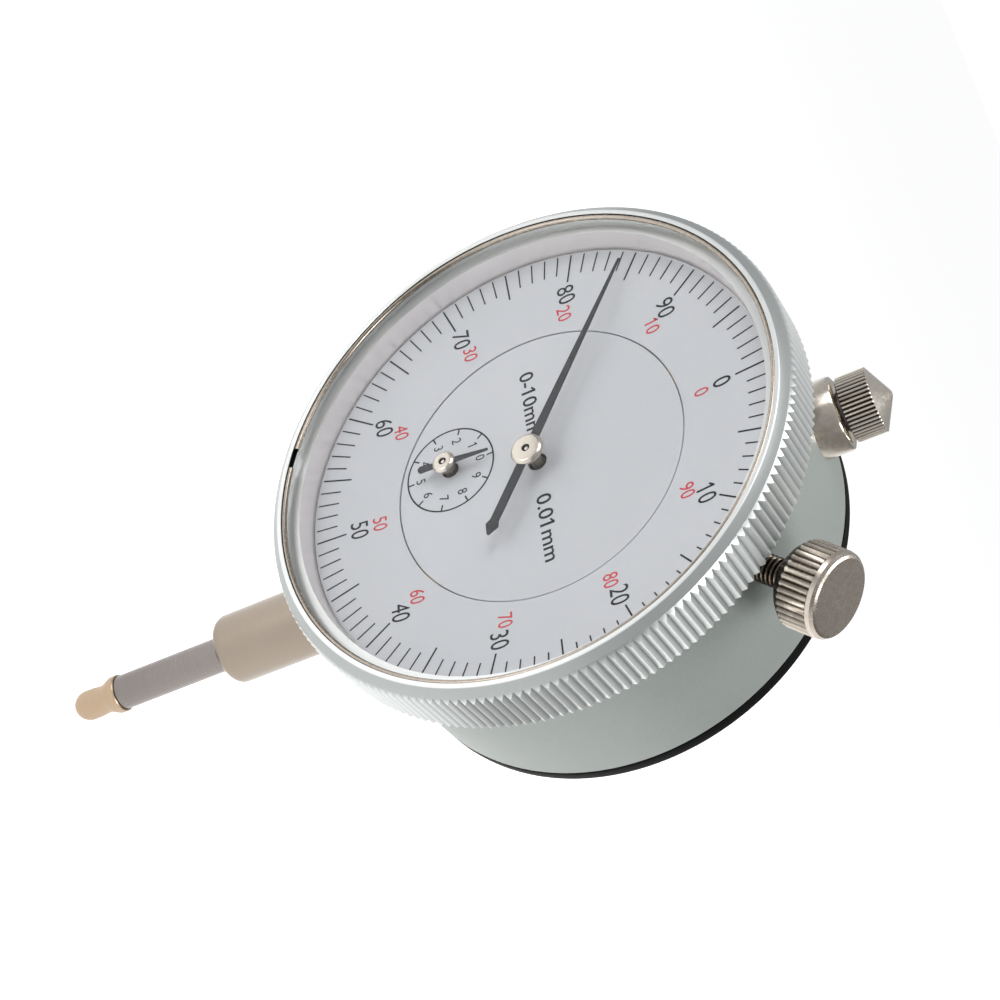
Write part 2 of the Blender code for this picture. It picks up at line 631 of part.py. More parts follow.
# ---- hands -----------------------------------------------------------------------------------------
def hand_loop(blade, tail, eye):
    """Outline of a hand: right side of blade, round eye, right side of tail, then the mirror of all."""
    upper = math.atan2(math.sqrt(eye ** 2 - blade[-1][0] ** 2), blade[-1][0])
    lower = -math.atan2(math.sqrt(eye ** 2 - tail[0][0] ** 2), tail[0][0])
    arc = [(eye * math.cos(a), eye * math.sin(a))
           for a in (upper + (lower - upper) * k / 12 for k in range(13))]
    right = blade[:-1] + arc + tail[1:]
    return right + [(-x, y) for x, y in reversed(right)]


def hand(name, outline, angle, spot, y):
    """Flat hand with the hole for its arbor, turned to its angle."""
    r = ARBOR_R + 0.02 * MM
    hole = [(r * math.cos(a), r * math.sin(a)) for a in (2 * math.pi * k / 16 for k in range(16))]
    mesh = outline_mesh([outline, hole], HAND_T)
    mesh.transform(Matrix.Rotation(math.pi / 2, 4, "X"))
    mesh.transform(Matrix.Rotation(angle, 4, "Y"))
    at = dial_point(spot[0], y, spot[1])
    mesh.transform(Matrix.Translation((at[0], at[1] + HAND_T, at[2])))
    return seat(new_object(name, mesh, "black", smooth=False), at)


def hub(name, spot, radius, face, blade_y):
    """Hub disc in front of a hand, with the pin hole in its middle."""
    x, z = spot
    back = blade_y - 0.03 * MM
    prof = [(0, face), (radius - 0.3 * MM, face), (radius, face + 0.28 * MM), (radius, back), (0, back)]
    ob = new_object(name, turned_mesh(prof, BACK, dial_point(x, 0, z), steps=28), "nickel")
    boolean(ob, rod(0.28 * MM, 0.25 * MM, BACK, dial_point(x, face - 0.1 * MM, z), 16))
    return seat(ob, dial_point(x, face, z))


def collet(name, spot, blade_y):
    """Collet tube behind a hand that grips the arbor."""
    x, z = spot
    r = ARBOR_R + 0.02 * MM
    y0, y1 = blade_y + HAND_T + 0.03 * MM, FRONT_PLATE_Y - 0.5 * MM
    prof = [(r, y0), (0.85 * MM, y0), (0.85 * MM, y0 + 0.7 * MM), (0.7 * MM, y1), (r, y1)]
    mesh = turned_mesh(prof, BACK, dial_point(x, 0, z), closed=True, steps=20)
    return seat(new_object(name, mesh, "nickel"), dial_point(x, y0, z))


def build_hands():
    """Main and small hands with their hubs and collets."""
    end, r = HAND_TAIL, 0.42 * MM
    main_loop = hand_loop([(0.13 * MM, HAND_LEN), (0.55 * MM, 0)],
                          [(0.5 * MM, 0), (0.5 * MM, -end + 1.7 * MM), (0.78 * MM, -end + 1.05 * MM),
                           (0.12 * MM, -end)], 0.95 * MM)
    bulb = [(r * math.cos(a), -SMALL_TAIL + r - r * math.sin(a))
            for a in (math.pi / 2 * k / 5 for k in range(5))]
    small_loop = hand_loop([(0.12 * MM, SMALL_LEN), (0.36 * MM, 0)], [(0.3 * MM, 0)] + bulb, 0.85 * MM)
    centre, first, _ = arbor_spots()
    hand("main_hand", main_loop, 2 * math.pi * ZERO_OFFSET, centre, HAND_Y)
    hand("small_hand", small_loop, -2 * math.pi * ZERO_OFFSET / 10, first, SMALL_Y)
    hub("main_hub", centre, HUB_R, HUB_FACE, HAND_Y)
    hub("small_hub", first, SMALL_HUB_R, SMALL_HUB_FACE, SMALL_Y)
    collet("main_collet", centre, HAND_Y)
    collet("small_collet", first, SMALL_Y)


# ---- plunger group ---------------------------------------------------------------------------------
def build_spindle():
    """Ground spindle with its rack, a threaded top end for the cap and a socket for the contact."""
    low = DIAL_Z - PLUNGER_END
    top = DIAL_Z + CAP_BASE - 0.15 * MM
    neck = DIAL_Z + CAP_BASE + 2.2 * MM
    prof = [(0, neck), (1.0 * MM, neck), (1.0 * MM, top), (SPINDLE_R, top), (SPINDLE_R, low), (0, low)]
    ob = new_object("spindle", turned_mesh(prof, steps=28), "steel")
    boolean(ob, rod(1.1 * MM, 3.5 * MM, (0, 0, 1), (0, 0, low - MM)))
    pitch = math.pi * RACK_MODULE
    depth = 2.0 * RACK_MODULE
    flat = SPINDLE_R - depth
    zc = DIAL_Z + FIRST_Z
    count = int((TRAVEL + 4 * MM) / pitch)
    start = zc - TRAVEL - 2 * MM
    pts = [(-SPINDLE_R - MM, start - pitch)]
    for k in range(count + 1):
        z = start + k * pitch
        pts += [(-SPINDLE_R - MM, z), (-flat, z + 0.12 * pitch), (-flat, z + 0.55 * pitch),
                (-SPINDLE_R - MM, z + 0.67 * pitch)]
    loop = [(x, z) for x, z in pts] + [(-SPINDLE_R - 2 * MM, pts[-1][1]), (-SPINDLE_R - 2 * MM, pts[0][1])]
    cut = outline_mesh([loop], 6 * MM)
    cut.transform(Matrix.Rotation(math.pi / 2, 4, "X"))
    cut.transform(Matrix.Translation((0, 3 * MM, 0)))
    boolean(ob, cut)
    boolean(ob, box_mesh((-SPINDLE_R - MM, -3 * MM, start - pitch),
                         (-RACK_LINE + MESH_GAP, 3 * MM, start + (count + 1) * pitch)))
    boolean(ob, rod(0.62 * MM, 6 * MM, (1, 0, 0), (-1.0 * MM, 0, DIAL_Z + PIN_Z), 16))
    return seat(ob, (0, 0, 0))


def build_contact():
    """Contact point: collar, neck and round nose, with a threaded stud into the spindle."""
    top = DIAL_Z - PLUNGER_END - GAP
    end = DIAL_Z - CONTACT_END
    nose_r = 1.75 * MM
    nose = [(nose_r * math.cos(t), end + nose_r - nose_r * math.sin(t))
            for t in (math.radians(a) for a in (0, 15, 30, 45, 60, 75, 90))]
    prof = [(0, top + 2.2 * MM), (1.0 * MM, top + 2.2 * MM), (1.0 * MM, top), (CONTACT_R, top),
            (CONTACT_R, top - 1.0 * MM), (1.62 * MM, top - 2.1 * MM), (1.7 * MM, top - 3.0 * MM)] + nose
    prof[-1] = (0, end)
    return new_object("contact_point", turned_mesh(prof, steps=24), "contact")


def build_cap():
    """Knurled lifting cap screwed on the spindle's top."""
    base = DIAL_Z + CAP_BASE
    knurl = DIAL_Z + CAP_KNURL
    tip = DIAL_Z + CAP_TIP
    bore = 1.0 * MM + RUN
    prof = [(0, tip), (0.35 * MM, tip), (CAP_R, knurl), (CAP_R, base), (bore, base),
            (bore, base + 2.4 * MM), (0, base + 2.4 * MM)]
    return new_object("lifting_cap", turned_mesh(prof, steps=32), "nickel")


def build_guide():
    """Guide pin across the spindle, its slotted guide plate, the spring post and the return spring."""
    z = DIAL_Z + PIN_Z
    end = SPRING_X + 2.0 * MM
    prof = [(0, 0), (0.55 * MM, 0), (0.55 * MM, end), (0, end)]
    new_object("guide_pin", turned_mesh(prof, (1, 0, 0), (0, 0, z), steps=24), "steel")
    low, high = z - 1.5 * MM, z + TRAVEL + 1.5 * MM
    x0, x1 = SPRING_X + 0.2 * MM + SPRING_R, SPRING_X + SPRING_R + 1.6 * MM
    y0 = DIAL_Y + BACK_PLATE_Y + BACK_PLATE_T + 0.03 * MM
    block = box_mesh((x0, y0, low - 2 * MM), (x1, 3.0 * MM, high + 2 * MM))
    ob = new_object("guide_plate", block, "brass", smooth=False)
    boolean(ob, box_mesh((x0 - MM, -0.65 * MM, low), (x1 + MM, 0.65 * MM, high)))
    foot = DIAL_Z - 19.5 * MM
    prof = [(0, 0), (0.6 * MM, 0), (0.6 * MM, -y0 + 1.6 * MM), (0, -y0 + 1.6 * MM)]
    new_object("spring_post", turned_mesh(prof, BACK, (SPRING_X, y0, foot), steps=24), "steel")
    z0, z1 = foot + 0.9 * MM, z - 0.85 * MM
    turns = 11
    pts = [(SPRING_X + SPRING_R * math.cos(2 * math.pi * k / 9),
            SPRING_R * math.sin(2 * math.pi * k / 9),
            z0 + (z1 - z0) * k / (9 * turns)) for k in range(9 * turns + 1)]
    new_object("return_spring", wire_mesh(pts, SPRING_WIRE, 0), "steel")


# ---- lock screw ------------------------------------------------------------------------------------
def build_lock():
    """Knurled thumb screw on the case side and the brake shoe it presses on."""
    axis, centre = radial(LOCK_ANGLE, LOCK_Y)
    inner = LOCK_FACE - LOCK_KNOB_L
    tip = RECESS_R + 0.3 * MM
    edge = 0.5 * MM
    prof = [(0, LOCK_FACE), (LOCK_KNOB_R - edge, LOCK_FACE), (LOCK_KNOB_R, LOCK_FACE - edge),
            (LOCK_KNOB_R, inner + 1.2 * MM), (LOCK_KNOB_R - 1.2 * MM, inner), (LOCK_THREAD_R, inner),
            (LOCK_THREAD_R, tip), (0, tip)]
    ob = new_object("lock_screw", turned_mesh(prof, axis, centre, steps=32), "nickel")
    seat(ob, centre)
    shoe = box_mesh((-SHOE_W / 2, -SHOE_Y - SHOE_L, RECESS_R + GAP), (SHOE_W / 2, -SHOE_Y, SHOE_OUT))
    shoe.transform(axis_matrix(axis, dial_point(0, 0, 0)) @ Matrix.Rotation(math.pi, 4, "Z"))
    new_object("brake_shoe", shoe, "brass", smooth=False)


def main():
    """Build every piece of the indicator."""
    global PARTS, CUTTERS
    clear_scene()
    PARTS = collection("dial_indicator")
    CUTTERS = collection("cutters", hidden=True)
    for step in (build_case, build_stem, build_sleeve, build_cover, build_cover_screws, build_bezel,
                 build_crystal, build_crystal_ring, build_dial_ring, build_inner_dial, build_plates,
                 build_bushes, build_pillars, build_train, build_hair_spring, build_rack_bracket,
                 build_hands, build_spindle, build_contact, build_cap, build_guide, build_lock):
        step()


main()
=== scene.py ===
"""Plunger dial indicator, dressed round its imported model.

Each class is one sub-assembly of the indicator. It holds its sizes in millimetres, models its pieces
and gives them their finishes. Depths are counted back from the plane of the divisions.
"""
from __future__ import annotations

import json
import logging
import math
from dataclasses import dataclass
from enum import Enum

import bmesh
import bpy
from mathutils import Matrix, Vector

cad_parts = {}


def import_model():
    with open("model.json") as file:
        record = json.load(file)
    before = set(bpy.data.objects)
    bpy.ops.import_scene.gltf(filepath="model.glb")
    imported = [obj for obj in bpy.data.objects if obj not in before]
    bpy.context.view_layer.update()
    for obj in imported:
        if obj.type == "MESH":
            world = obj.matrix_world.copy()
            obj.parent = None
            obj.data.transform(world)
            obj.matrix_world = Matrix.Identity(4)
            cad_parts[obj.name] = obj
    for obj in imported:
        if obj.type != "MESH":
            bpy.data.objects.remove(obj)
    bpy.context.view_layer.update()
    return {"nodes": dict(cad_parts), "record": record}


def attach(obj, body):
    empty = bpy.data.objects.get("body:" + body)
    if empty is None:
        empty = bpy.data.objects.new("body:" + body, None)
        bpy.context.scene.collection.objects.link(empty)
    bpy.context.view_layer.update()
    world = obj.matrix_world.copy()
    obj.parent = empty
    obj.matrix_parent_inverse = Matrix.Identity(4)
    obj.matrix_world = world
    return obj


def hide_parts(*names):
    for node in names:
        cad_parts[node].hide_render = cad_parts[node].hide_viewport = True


LOG = logging.getLogger("dial_indicator")
MM = 0.001
DIAL_Y = -11.7
DIAL_Z = 35.0
DIAL_TURN = math.radians(-0.46)
DIVISION_R = 25.5
FOLD_R = 22.1
RING_R = 16.1
FOLD_DEPTH = 0.28
RING_DROP = 0.77
MIDDLE_DEPTH = 1.10
SMALL_DIAL = (-3.4, -9.77)
INK_LIFT = 0.006
INK_THICK = 0.024
LOCK_ANGLE = math.radians(43.8)
LOCK_DEPTH = 6.0


class Body(Enum):
    """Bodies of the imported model."""

    CASE = "body"
    RIM = "rim"
    PLUNGER = "plunger"
    CENTRE = "centre_arbor"
    FIRST = "first_arbor"
    LOCK = "lock"


class Grain(Enum):
    """Direction of the fine lines that a surface process leaves."""

    ROUND_Y = (6.0, 900.0, 6.0)
    ROUND_Z = (6.0, 6.0, 900.0)
    EVEN = (260.0, 260.0, 260.0)


def linear(code: str) -> tuple[float, float, float, float]:
    """Turn an sRGB hex colour into linear RGBA.

    Args:
        code: Colour such as "#C8CCCF".

    Returns:
        Linear red, green, blue and an alpha of one.
    """
    parts = [int(code[i:i + 2], 16) / 255 for i in (1, 3, 5)]
    lin = [c / 12.92 if c <= 0.04045 else ((c + 0.055) / 1.055) ** 2.4 for c in parts]
    return (lin[0], lin[1], lin[2], 1.0)


def add_node(mat: bpy.types.Material | bpy.types.World, kind: str, values: dict | None = None,
             links: dict | None = None, **settings: object) -> bpy.types.Node:
    """Add one node with its settings, socket values and incoming links.

    Args:
        mat: Material or world that gets the node.
        kind: Node type name.
        values: Socket name or index to value.
        links: Socket name or index to the output socket that feeds it.
        settings: Node properties.

    Returns:
        The new node.
    """
    node = mat.node_tree.nodes.new(kind)
    for key, value in settings.items():
        setattr(node, key, value)
    for key, value in (values or {}).items():
        node.inputs[key].default_value = value
    for key, socket in (links or {}).items():
        mat.node_tree.links.new(socket, node.inputs[key])
    return node


@dataclass(frozen=True)
class Zone:
    """Ring-shaped zone of a turned piece in another colour than the rest, for painted shade in grooves and a
    painted reflection on a wall.

    Distances are in millimetres. The zone lies beyond the inner distance from the axis, is full up to
    the bottom distance and fades out at the crest. Start and end bound it along the axis.
    """

    origin: tuple[float, float, float]
    axis: tuple[float, float, float]
    inner: float
    bottom: float
    crest: float
    start: float
    end: float
    # Default colour: a dark painted shade.
    colour: str = "#3A342D"

    def mask(self, mat: bpy.types.Material, place: bpy.types.Node) -> bpy.types.NodeSocket:
        """Build the zone's mask.

        Args:
            mat: Material that gets the nodes.
            place: Texture coordinate node of the material.

        Returns:
            A socket that is one in the zone and nought elsewhere.
        """
        origin = tuple(c * MM for c in self.origin)
        arm = add_node(mat, "ShaderNodeVectorMath", {1: origin}, {0: place.outputs["Object"]},
                       operation="SUBTRACT")
        cross = add_node(mat, "ShaderNodeVectorMath", {1: self.axis}, {0: arm.outputs[0]},
                         operation="CROSS_PRODUCT")
        reach = add_node(mat, "ShaderNodeVectorMath", links={0: cross.outputs[0]}, operation="LENGTH")
        along = add_node(mat, "ShaderNodeVectorMath", {1: self.axis}, {0: arm.outputs[0]},
                         operation="DOT_PRODUCT")
        fade = add_node(mat, "ShaderNodeMapRange",
                        {"From Min": self.bottom * MM, "From Max": self.crest * MM,
                         "To Min": 1.0, "To Max": 0.0}, {"Value": reach.outputs["Value"]})
        result = fade.outputs["Result"]
        for value, limit, test in ((along.outputs["Value"], self.start, "GREATER_THAN"),
                                   (along.outputs["Value"], self.end, "LESS_THAN"),
                                   (reach.outputs["Value"], self.inner, "GREATER_THAN")):
            gate = add_node(mat, "ShaderNodeMath", {1: limit * MM}, {0: value}, operation=test)
            both = add_node(mat, "ShaderNodeMath", links={0: result, 1: gate.outputs[0]},
                            operation="MULTIPLY")
            result = both.outputs[0]
        return result


@dataclass(frozen=True)
class Finish:
    """One real material with the process that made its surface.

    The noise scale comes from the grain in millimetres. Roughness swings between two values along it.
    """

    name: str
    colour: str
    shade: str
    metallic: float
    rough: tuple[float, float]
    grain: Grain = Grain.EVEN
    bump: float = 0.02
    specular: float = 0.5
    zones: tuple[Zone, ...] = ()

    def build(self) -> bpy.types.Material:
        """Make the material, or return it if it was made before."""
        mat = bpy.data.materials.get(self.name)
        if mat is not None:
            return mat
        mat = bpy.data.materials.new(self.name)
        mat.use_nodes = True
        shader = mat.node_tree.nodes["Principled BSDF"]
        shader.inputs["Metallic"].default_value = self.metallic
        shader.inputs["Specular IOR Level"].default_value = self.specular
        place = add_node(mat, "ShaderNodeTexCoord")
        scale = add_node(mat, "ShaderNodeMapping", {"Scale": self.grain.value},
                         {"Vector": place.outputs["Object"]})
        lines = add_node(mat, "ShaderNodeTexNoise", {"Scale": 9.0, "Detail": 5.0, "Roughness": 0.62},
                         {"Vector": scale.outputs["Vector"]})
        patch = add_node(mat, "ShaderNodeTexNoise", {"Scale": 55.0, "Detail": 2.0},
                         {"Vector": place.outputs["Object"]})
        blend = add_node(mat, "ShaderNodeMix", {"Factor": 0.35},
                         {2: lines.outputs["Fac"], 3: patch.outputs["Fac"]}, data_type="FLOAT")
        tint = add_node(mat, "ShaderNodeValToRGB", links={"Fac": blend.outputs[0]})
        tint.color_ramp.elements[0].position = 0.30
        tint.color_ramp.elements[0].color = linear(self.shade)
        tint.color_ramp.elements[1].position = 0.62
        tint.color_ramp.elements[1].color = linear(self.colour)
        rough = add_node(mat, "ShaderNodeMapRange",
                         {"From Min": 0.3, "From Max": 0.7,
                          "To Min": self.rough[0], "To Max": self.rough[1]}, {"Value": blend.outputs[0]})
        relief = add_node(mat, "ShaderNodeBump", {"Strength": self.bump, "Distance": 0.02 * MM},
                          {"Height": lines.outputs["Fac"]})
        colour = tint.outputs["Color"]
        # Each zone paints light or shade over the colour: painted shade in grooves, a painted reflection on
        # a wall.
        for zone in self.zones:
            painted_light_mix = add_node(mat, "ShaderNodeMix", {7: linear(zone.colour)},
                              {0: zone.mask(mat, place), 6: colour}, data_type="RGBA")
            colour = painted_light_mix.outputs[2]
        for socket, out in (("Base Color", colour), ("Roughness", rough.outputs["Result"]),
                            ("Normal", relief.outputs["Normal"])):
            mat.node_tree.links.new(out, shader.inputs[socket])
        return mat


@dataclass(frozen=True)
class Crystal(Finish):
    """Polished clear acrylic: nearly all is seen through, with a weak even gloss."""

    def build(self) -> bpy.types.Material:
        """Make the clear material, its gloss growing towards a grazing look on either side."""
        mat = bpy.data.materials.get(self.name)
        if mat is not None:
            return mat
        mat = bpy.data.materials.new(self.name)
        mat.use_nodes = True
        tree = mat.node_tree
        tree.nodes.remove(tree.nodes["Principled BSDF"])
        place = add_node(mat, "ShaderNodeTexCoord")
        dust = add_node(mat, "ShaderNodeTexNoise", {"Scale": 900.0, "Detail": 3.0},
                        {"Vector": place.outputs["Object"]})
        rough = add_node(mat, "ShaderNodeMapRange",
                         {"From Min": 0.3, "From Max": 0.7, "To Min": 0.01, "To Max": 0.03},
                         {"Value": dust.outputs["Fac"]})
        clear = add_node(mat, "ShaderNodeBsdfTransparent", {"Color": linear("#FEFEFE")})
        gloss = add_node(mat, "ShaderNodeBsdfAnisotropic", {"Color": linear("#FFFFFF")},
                         {"Roughness": rough.outputs["Result"]})
        edge = add_node(mat, "ShaderNodeLayerWeight", {"Blend": 0.5})
        slant = add_node(mat, "ShaderNodeMath", {1: 5.0}, {0: edge.outputs["Facing"]}, operation="POWER")
        share = add_node(mat, "ShaderNodeMapRange", {"To Min": 0.015, "To Max": 0.9},
                         {"Value": slant.outputs[0]})
        mix = add_node(mat, "ShaderNodeMixShader", links={0: share.outputs[0], 1: clear.outputs[0],
                                                          2: gloss.outputs[0]})
        tree.links.new(mix.outputs[0], tree.nodes["Material Output"].inputs["Surface"])
        return mat


DIAL_CENTRE = (0, DIAL_Y, DIAL_Z)
SMALL_CENTRE = (SMALL_DIAL[0], DIAL_Y, DIAL_Z + SMALL_DIAL[1])
LOCK_CENTRE = (0, DIAL_Y + LOCK_DEPTH, DIAL_Z)
LOCK_AXIS = (math.sin(LOCK_ANGLE), 0.0, math.cos(LOCK_ANGLE))

# Satin anodised aluminium, fine turned: pearl grey, painted shade on the cone and between the serrations,
# painted black shade in the groove of the crystal's ring, and a pale painted reflection on the polished wall
# down to the dial.
BEZEL_ALU = Finish("anodised_aluminium_turned", "#D6D8D7", "#C9CCCB", 0.6, (0.28, 0.38), Grain.ROUND_Y, 0.10,
                   zones=(Zone(DIAL_CENTRE, (0, 1, 0), 28.3, 28.62, 28.95, -3.6, 2.4, "#9CA1A0"),
                          Zone(DIAL_CENTRE, (0, 1, 0), 27.84, 28.6, 28.8, -4.25, -3.3, "#A2A6A5"),
                          Zone(DIAL_CENTRE, (0, 1, 0), 27.28, 27.66, 27.72, -4.15, -3.4, "#12100E"),
                          Zone(DIAL_CENTRE, (0, 1, 0), 25.9, 26.1, 26.2, -2.78, 0.6, "#F6F1F0")))
# Blasted and anodised aluminium case: flatter, slightly green grey.
CASE_ALU = Finish("anodised_aluminium_blasted", "#8F9591", "#878D89", 0.3, (0.44, 0.54), Grain.EVEN, 0.10)
# Black stoved enamel on a pressed steel cover: deep black with a weak sheen.
COVER_ENAMEL = Finish("black_enamel_stoved", "#0B0B0C", "#070708", 0.0, (0.5, 0.62), Grain.EVEN, 0.10, 0.08)
# Satin nickel plate over turned steel: warm, with fine rings.
NICKEL = Finish("nickel_plate_satin", "#94897D", "#8F8478", 1.0, (0.27, 0.31), Grain.ROUND_Z, 0.02)
# Bright nickel plate on the cap: polished crests, painted dark shade in the cuts between them.
NICKEL_CAP = Finish("nickel_plate_bright", "#E0D8CC", "#D2C9BC", 1.0, (0.14, 0.24), Grain.EVEN, 0.05,
                    zones=(Zone((0, 0, DIAL_Z), (0, 0, 1), 3.0, 3.27, 3.43, 29.7, 32.84, "#1E1A15"),))
# Bright nickel plate on the thumb screw, with painted shade at the root of its serrations, under the knob
# and on the crests of its thread.
NICKEL_KNOB = Finish("nickel_plate_knurled", "#C6BDB2", "#B4AA9E", 1.0, (0.20, 0.32), Grain.EVEN, 0.08,
                     zones=(Zone(LOCK_CENTRE, LOCK_AXIS, 1.35, 4.08, 4.32, 20.0, 34.4, "#453C33"),))
# Bright nickel hubs and screw heads, turned across the dial axis, with painted dark shade in the ring groove
# round each hub's pin.
NICKEL_HUB = Finish("nickel_plate_turned", "#CBC3B8", "#C5BDB2", 1.0, (0.20, 0.26), Grain.EVEN, 0.02,
                    zones=(Zone(DIAL_CENTRE, (0, 1, 0), 0.22, 0.42, 0.44, -3.0, -0.9, "#15120F"),
                           Zone(SMALL_CENTRE, (0, 1, 0), 0.22, 0.40, 0.42, -3.0, -0.2, "#15120F")))
# Centreless ground stainless steel of the spindle.
GROUND_STEEL = Finish("stainless_steel_ground", "#857F7C", "#7D7774", 1.0, (0.24, 0.30), Grain.ROUND_Z, 0.04)
# Contact point: turned nickel brass, dull tan.
CONTACT_BRASS = Finish("nickel_brass_turned", "#B8A289", "#AB957D", 0.85, (0.34, 0.44), Grain.ROUND_Z, 0.08)
# Dial: aluminium with a cool grey white lacquer, very fine tooth.
DIAL_LACQUER = Finish("dial_lacquer_matt", "#BBBDC1", "#B6B9BD", 0.0, (0.45, 0.55), Grain.EVEN, 0.03, 0.3)
# Printing inks: dense matt black and a slightly faded red.
INK_BLACK = Finish("printing_ink_black", "#101114", "#0B0C0E", 0.0, (0.6, 0.7), specular=0.2)
INK_RED = Finish("printing_ink_red", "#C2393F", "#B62F36", 0.0, (0.6, 0.7), specular=0.2)
# Blackened steel strip of the hands.
HAND_BLACK = Finish("steel_blackened", "#2B2C30", "#222327", 0.2, (0.42, 0.54), Grain.EVEN, 0.05, 0.3)
# Drawn spring wire, bright and a little warm.
SPRING_STEEL = Finish("spring_steel_drawn", "#A59C91", "#857C72", 1.0, (0.2, 0.3), Grain.EVEN, 0.05)
# Turned brass of the movement, yellow with fine tool marks.
BRASS = Finish("brass_turned", "#C9A35C", "#B28D49", 1.0, (0.25, 0.36), Grain.EVEN, 0.08)
# Moulded and polished acrylic: seen only by its gloss.
ACRYLIC = Crystal("acrylic_polished", "#FFFFFF", "#FFFFFF", 0.0, (0.01, 0.03))

SLOT_FINISH = {"case": CASE_ALU, "bezel": BEZEL_ALU, "cover": COVER_ENAMEL, "nickel": NICKEL,
               "steel": GROUND_STEEL, "crystal": ACRYLIC, "dial": DIAL_LACQUER, "black": HAND_BLACK,
               "brass": BRASS, "contact": CONTACT_BRASS}


# ---- modelling ------------------------------------------------------------------------------------
def clear_selection() -> None:
    """Deselect every object."""
    if bpy.context.object and bpy.context.object.mode != "OBJECT":
        bpy.ops.object.mode_set(mode="OBJECT")
    bpy.ops.object.select_all(action="DESELECT")


def dial_axis(x: float = 0.0, z: float = 0.0) -> Matrix:
    """Placement whose local +Z runs back from the dial at a point across and up, in millimetres."""
    return Matrix.Translation(Vector((x, DIAL_Y, DIAL_Z + z)) * MM) @ Matrix.Rotation(-math.pi / 2, 4, "X")


def spindle_axis() -> Matrix:
    """Placement along the stem, with heights counted from the dial's centre."""
    return Matrix.Translation((0, 0, DIAL_Z * MM))


def dish(radius: float) -> float:
    """Depth of the dial's face at a radius, in millimetres."""
    if radius >= DIVISION_R:
        return 0.0
    if radius >= FOLD_R:
        return FOLD_DEPTH * (DIVISION_R - radius) / (DIVISION_R - FOLD_R)
    if radius >= RING_R - 0.05:
        return FOLD_DEPTH + RING_DROP * (FOLD_R - radius) / (FOLD_R - RING_R)
    return MIDDLE_DEPTH


def block(size: tuple[float, float, float], spot: tuple[float, float, float],
          rotation: tuple[float, float, float] = (0, 0, 0), unit: float = MM) -> bpy.types.Object:
    """Add a box at its size and place.

    Args:
        size: Its three sizes, in units.
        spot: Its middle, in units.
        rotation: Turns about the three axes.
        unit: Length of one unit in metres.

    Returns:
        The box, its size and place applied to the mesh.
    """
    clear_selection()
    bpy.ops.mesh.primitive_cube_add(size=1.0, location=tuple(c * unit for c in spot), rotation=rotation,
                                    scale=tuple(c * unit for c in size))
    bpy.ops.object.transform_apply(location=True, rotation=True, scale=True)
    return bpy.context.object


def soften(profile: list[tuple[float, float]], radius: float, closed: bool = False,
           steps: int = 3) -> list[tuple[float, float]]:
    """Round the corners of a profile.

    Args:
        profile: Points (radius, height) in millimetres.
        radius: Corner radius, cut down where a side is short.
        closed: Whether the last point joins the first.
        steps: Points along each corner.

    Returns:
        The rounded profile.
    """
    out: list[tuple[float, float]] = []
    n = len(profile)
    for i, point in enumerate(profile):
        if not closed and i in (0, n - 1):
            out.append(point)
            continue
        p, a, b = Vector(point), Vector(profile[i - 1]), Vector(profile[(i + 1) % n])
        ra, rb = min(radius, (a - p).length * 0.45), min(radius, (b - p).length * 0.45)
        start, end = p + (a - p).normalized() * ra, p + (b - p).normalized() * rb
        for k in range(steps + 1):
            t = k / steps
            q = start * (1 - t) ** 2 + p * 2 * t * (1 - t) + end * t ** 2
            out.append((q.x, q.y))
    return out


def turn(name: str, profile: list[tuple[float, float]], segments: int = 128,
         closed: bool = False) -> bpy.types.Object:
    """Turn a piece: a circle extruded ring by ring and resized, then capped or closed on itself.

    Args:
        name: Name of the piece.
        profile: Points (radius, height) in millimetres, none on the axis.
        segments: Vertices round the piece.
        closed: Whether the last ring joins the first, as on a tube.

    Returns:
        The piece, about its own Z axis.
    """
    clear_selection()
    r0, h0 = profile[0]
    bpy.ops.mesh.primitive_circle_add(vertices=segments, radius=r0 * MM, location=(0, 0, h0 * MM))
    ob = bpy.context.object
    ob.name = name
    bpy.ops.object.transform_apply(location=True, rotation=True, scale=True)
    bpy.ops.object.mode_set(mode="EDIT")
    bpy.ops.mesh.select_all(action="SELECT")
    for (r, h), (before_r, before_h) in zip(profile[1:], profile):
        bpy.ops.mesh.extrude_region_move(TRANSFORM_OT_translate={"value": (0, 0, (h - before_h) * MM)})
        if abs(r - before_r) > 1e-6:
            s = r / before_r
            bpy.ops.transform.resize(value=(s, s, 1), center_override=(0, 0, h * MM))
    bpy.ops.mesh.select_all(action="DESELECT")
    bpy.ops.mesh.select_mode(type="EDGE")
    bpy.ops.mesh.select_non_manifold()
    if closed:
        bpy.ops.mesh.bridge_edge_loops()
    else:
        bpy.ops.mesh.fill_holes(sides=0)
    bpy.ops.mesh.select_all(action="SELECT")
    bpy.ops.mesh.normals_make_consistent(inside=False)
    bpy.ops.object.mode_set(mode="OBJECT")
    return ob


def select_teeth(ob: bpy.types.Object, teeth: int, phase: int, low: float, high: float) -> None:
    """Select the vertices of one phase of the knurl, four phases to a tooth.

    Args:
        ob: Turned piece in edit mode.
        teeth: Number of teeth round the piece.
        phase: Nought to three, where nought is the bottom of the groove.
        low: Lowest height in millimetres.
        high: Highest height.
    """
    bpy.ops.mesh.select_mode(type="VERT")
    bpy.ops.mesh.select_all(action="DESELECT")
    bm = bmesh.from_edit_mesh(ob.data)
    rim = max(math.hypot(v.co.x, v.co.y) for v in bm.verts)
    for v in bm.verts:
        here = round(math.atan2(v.co.y, v.co.x) / (2 * math.pi) * teeth * 4) % 4
        on_rim = math.hypot(v.co.x, v.co.y) > rim - 0.02 * MM
        if here == phase and on_rim and (low - 0.01) * MM <= v.co.z <= (high + 0.01) * MM:
            v.select_set(True)
    bm.select_flush(True)
    bmesh.update_edit_mesh(ob.data)


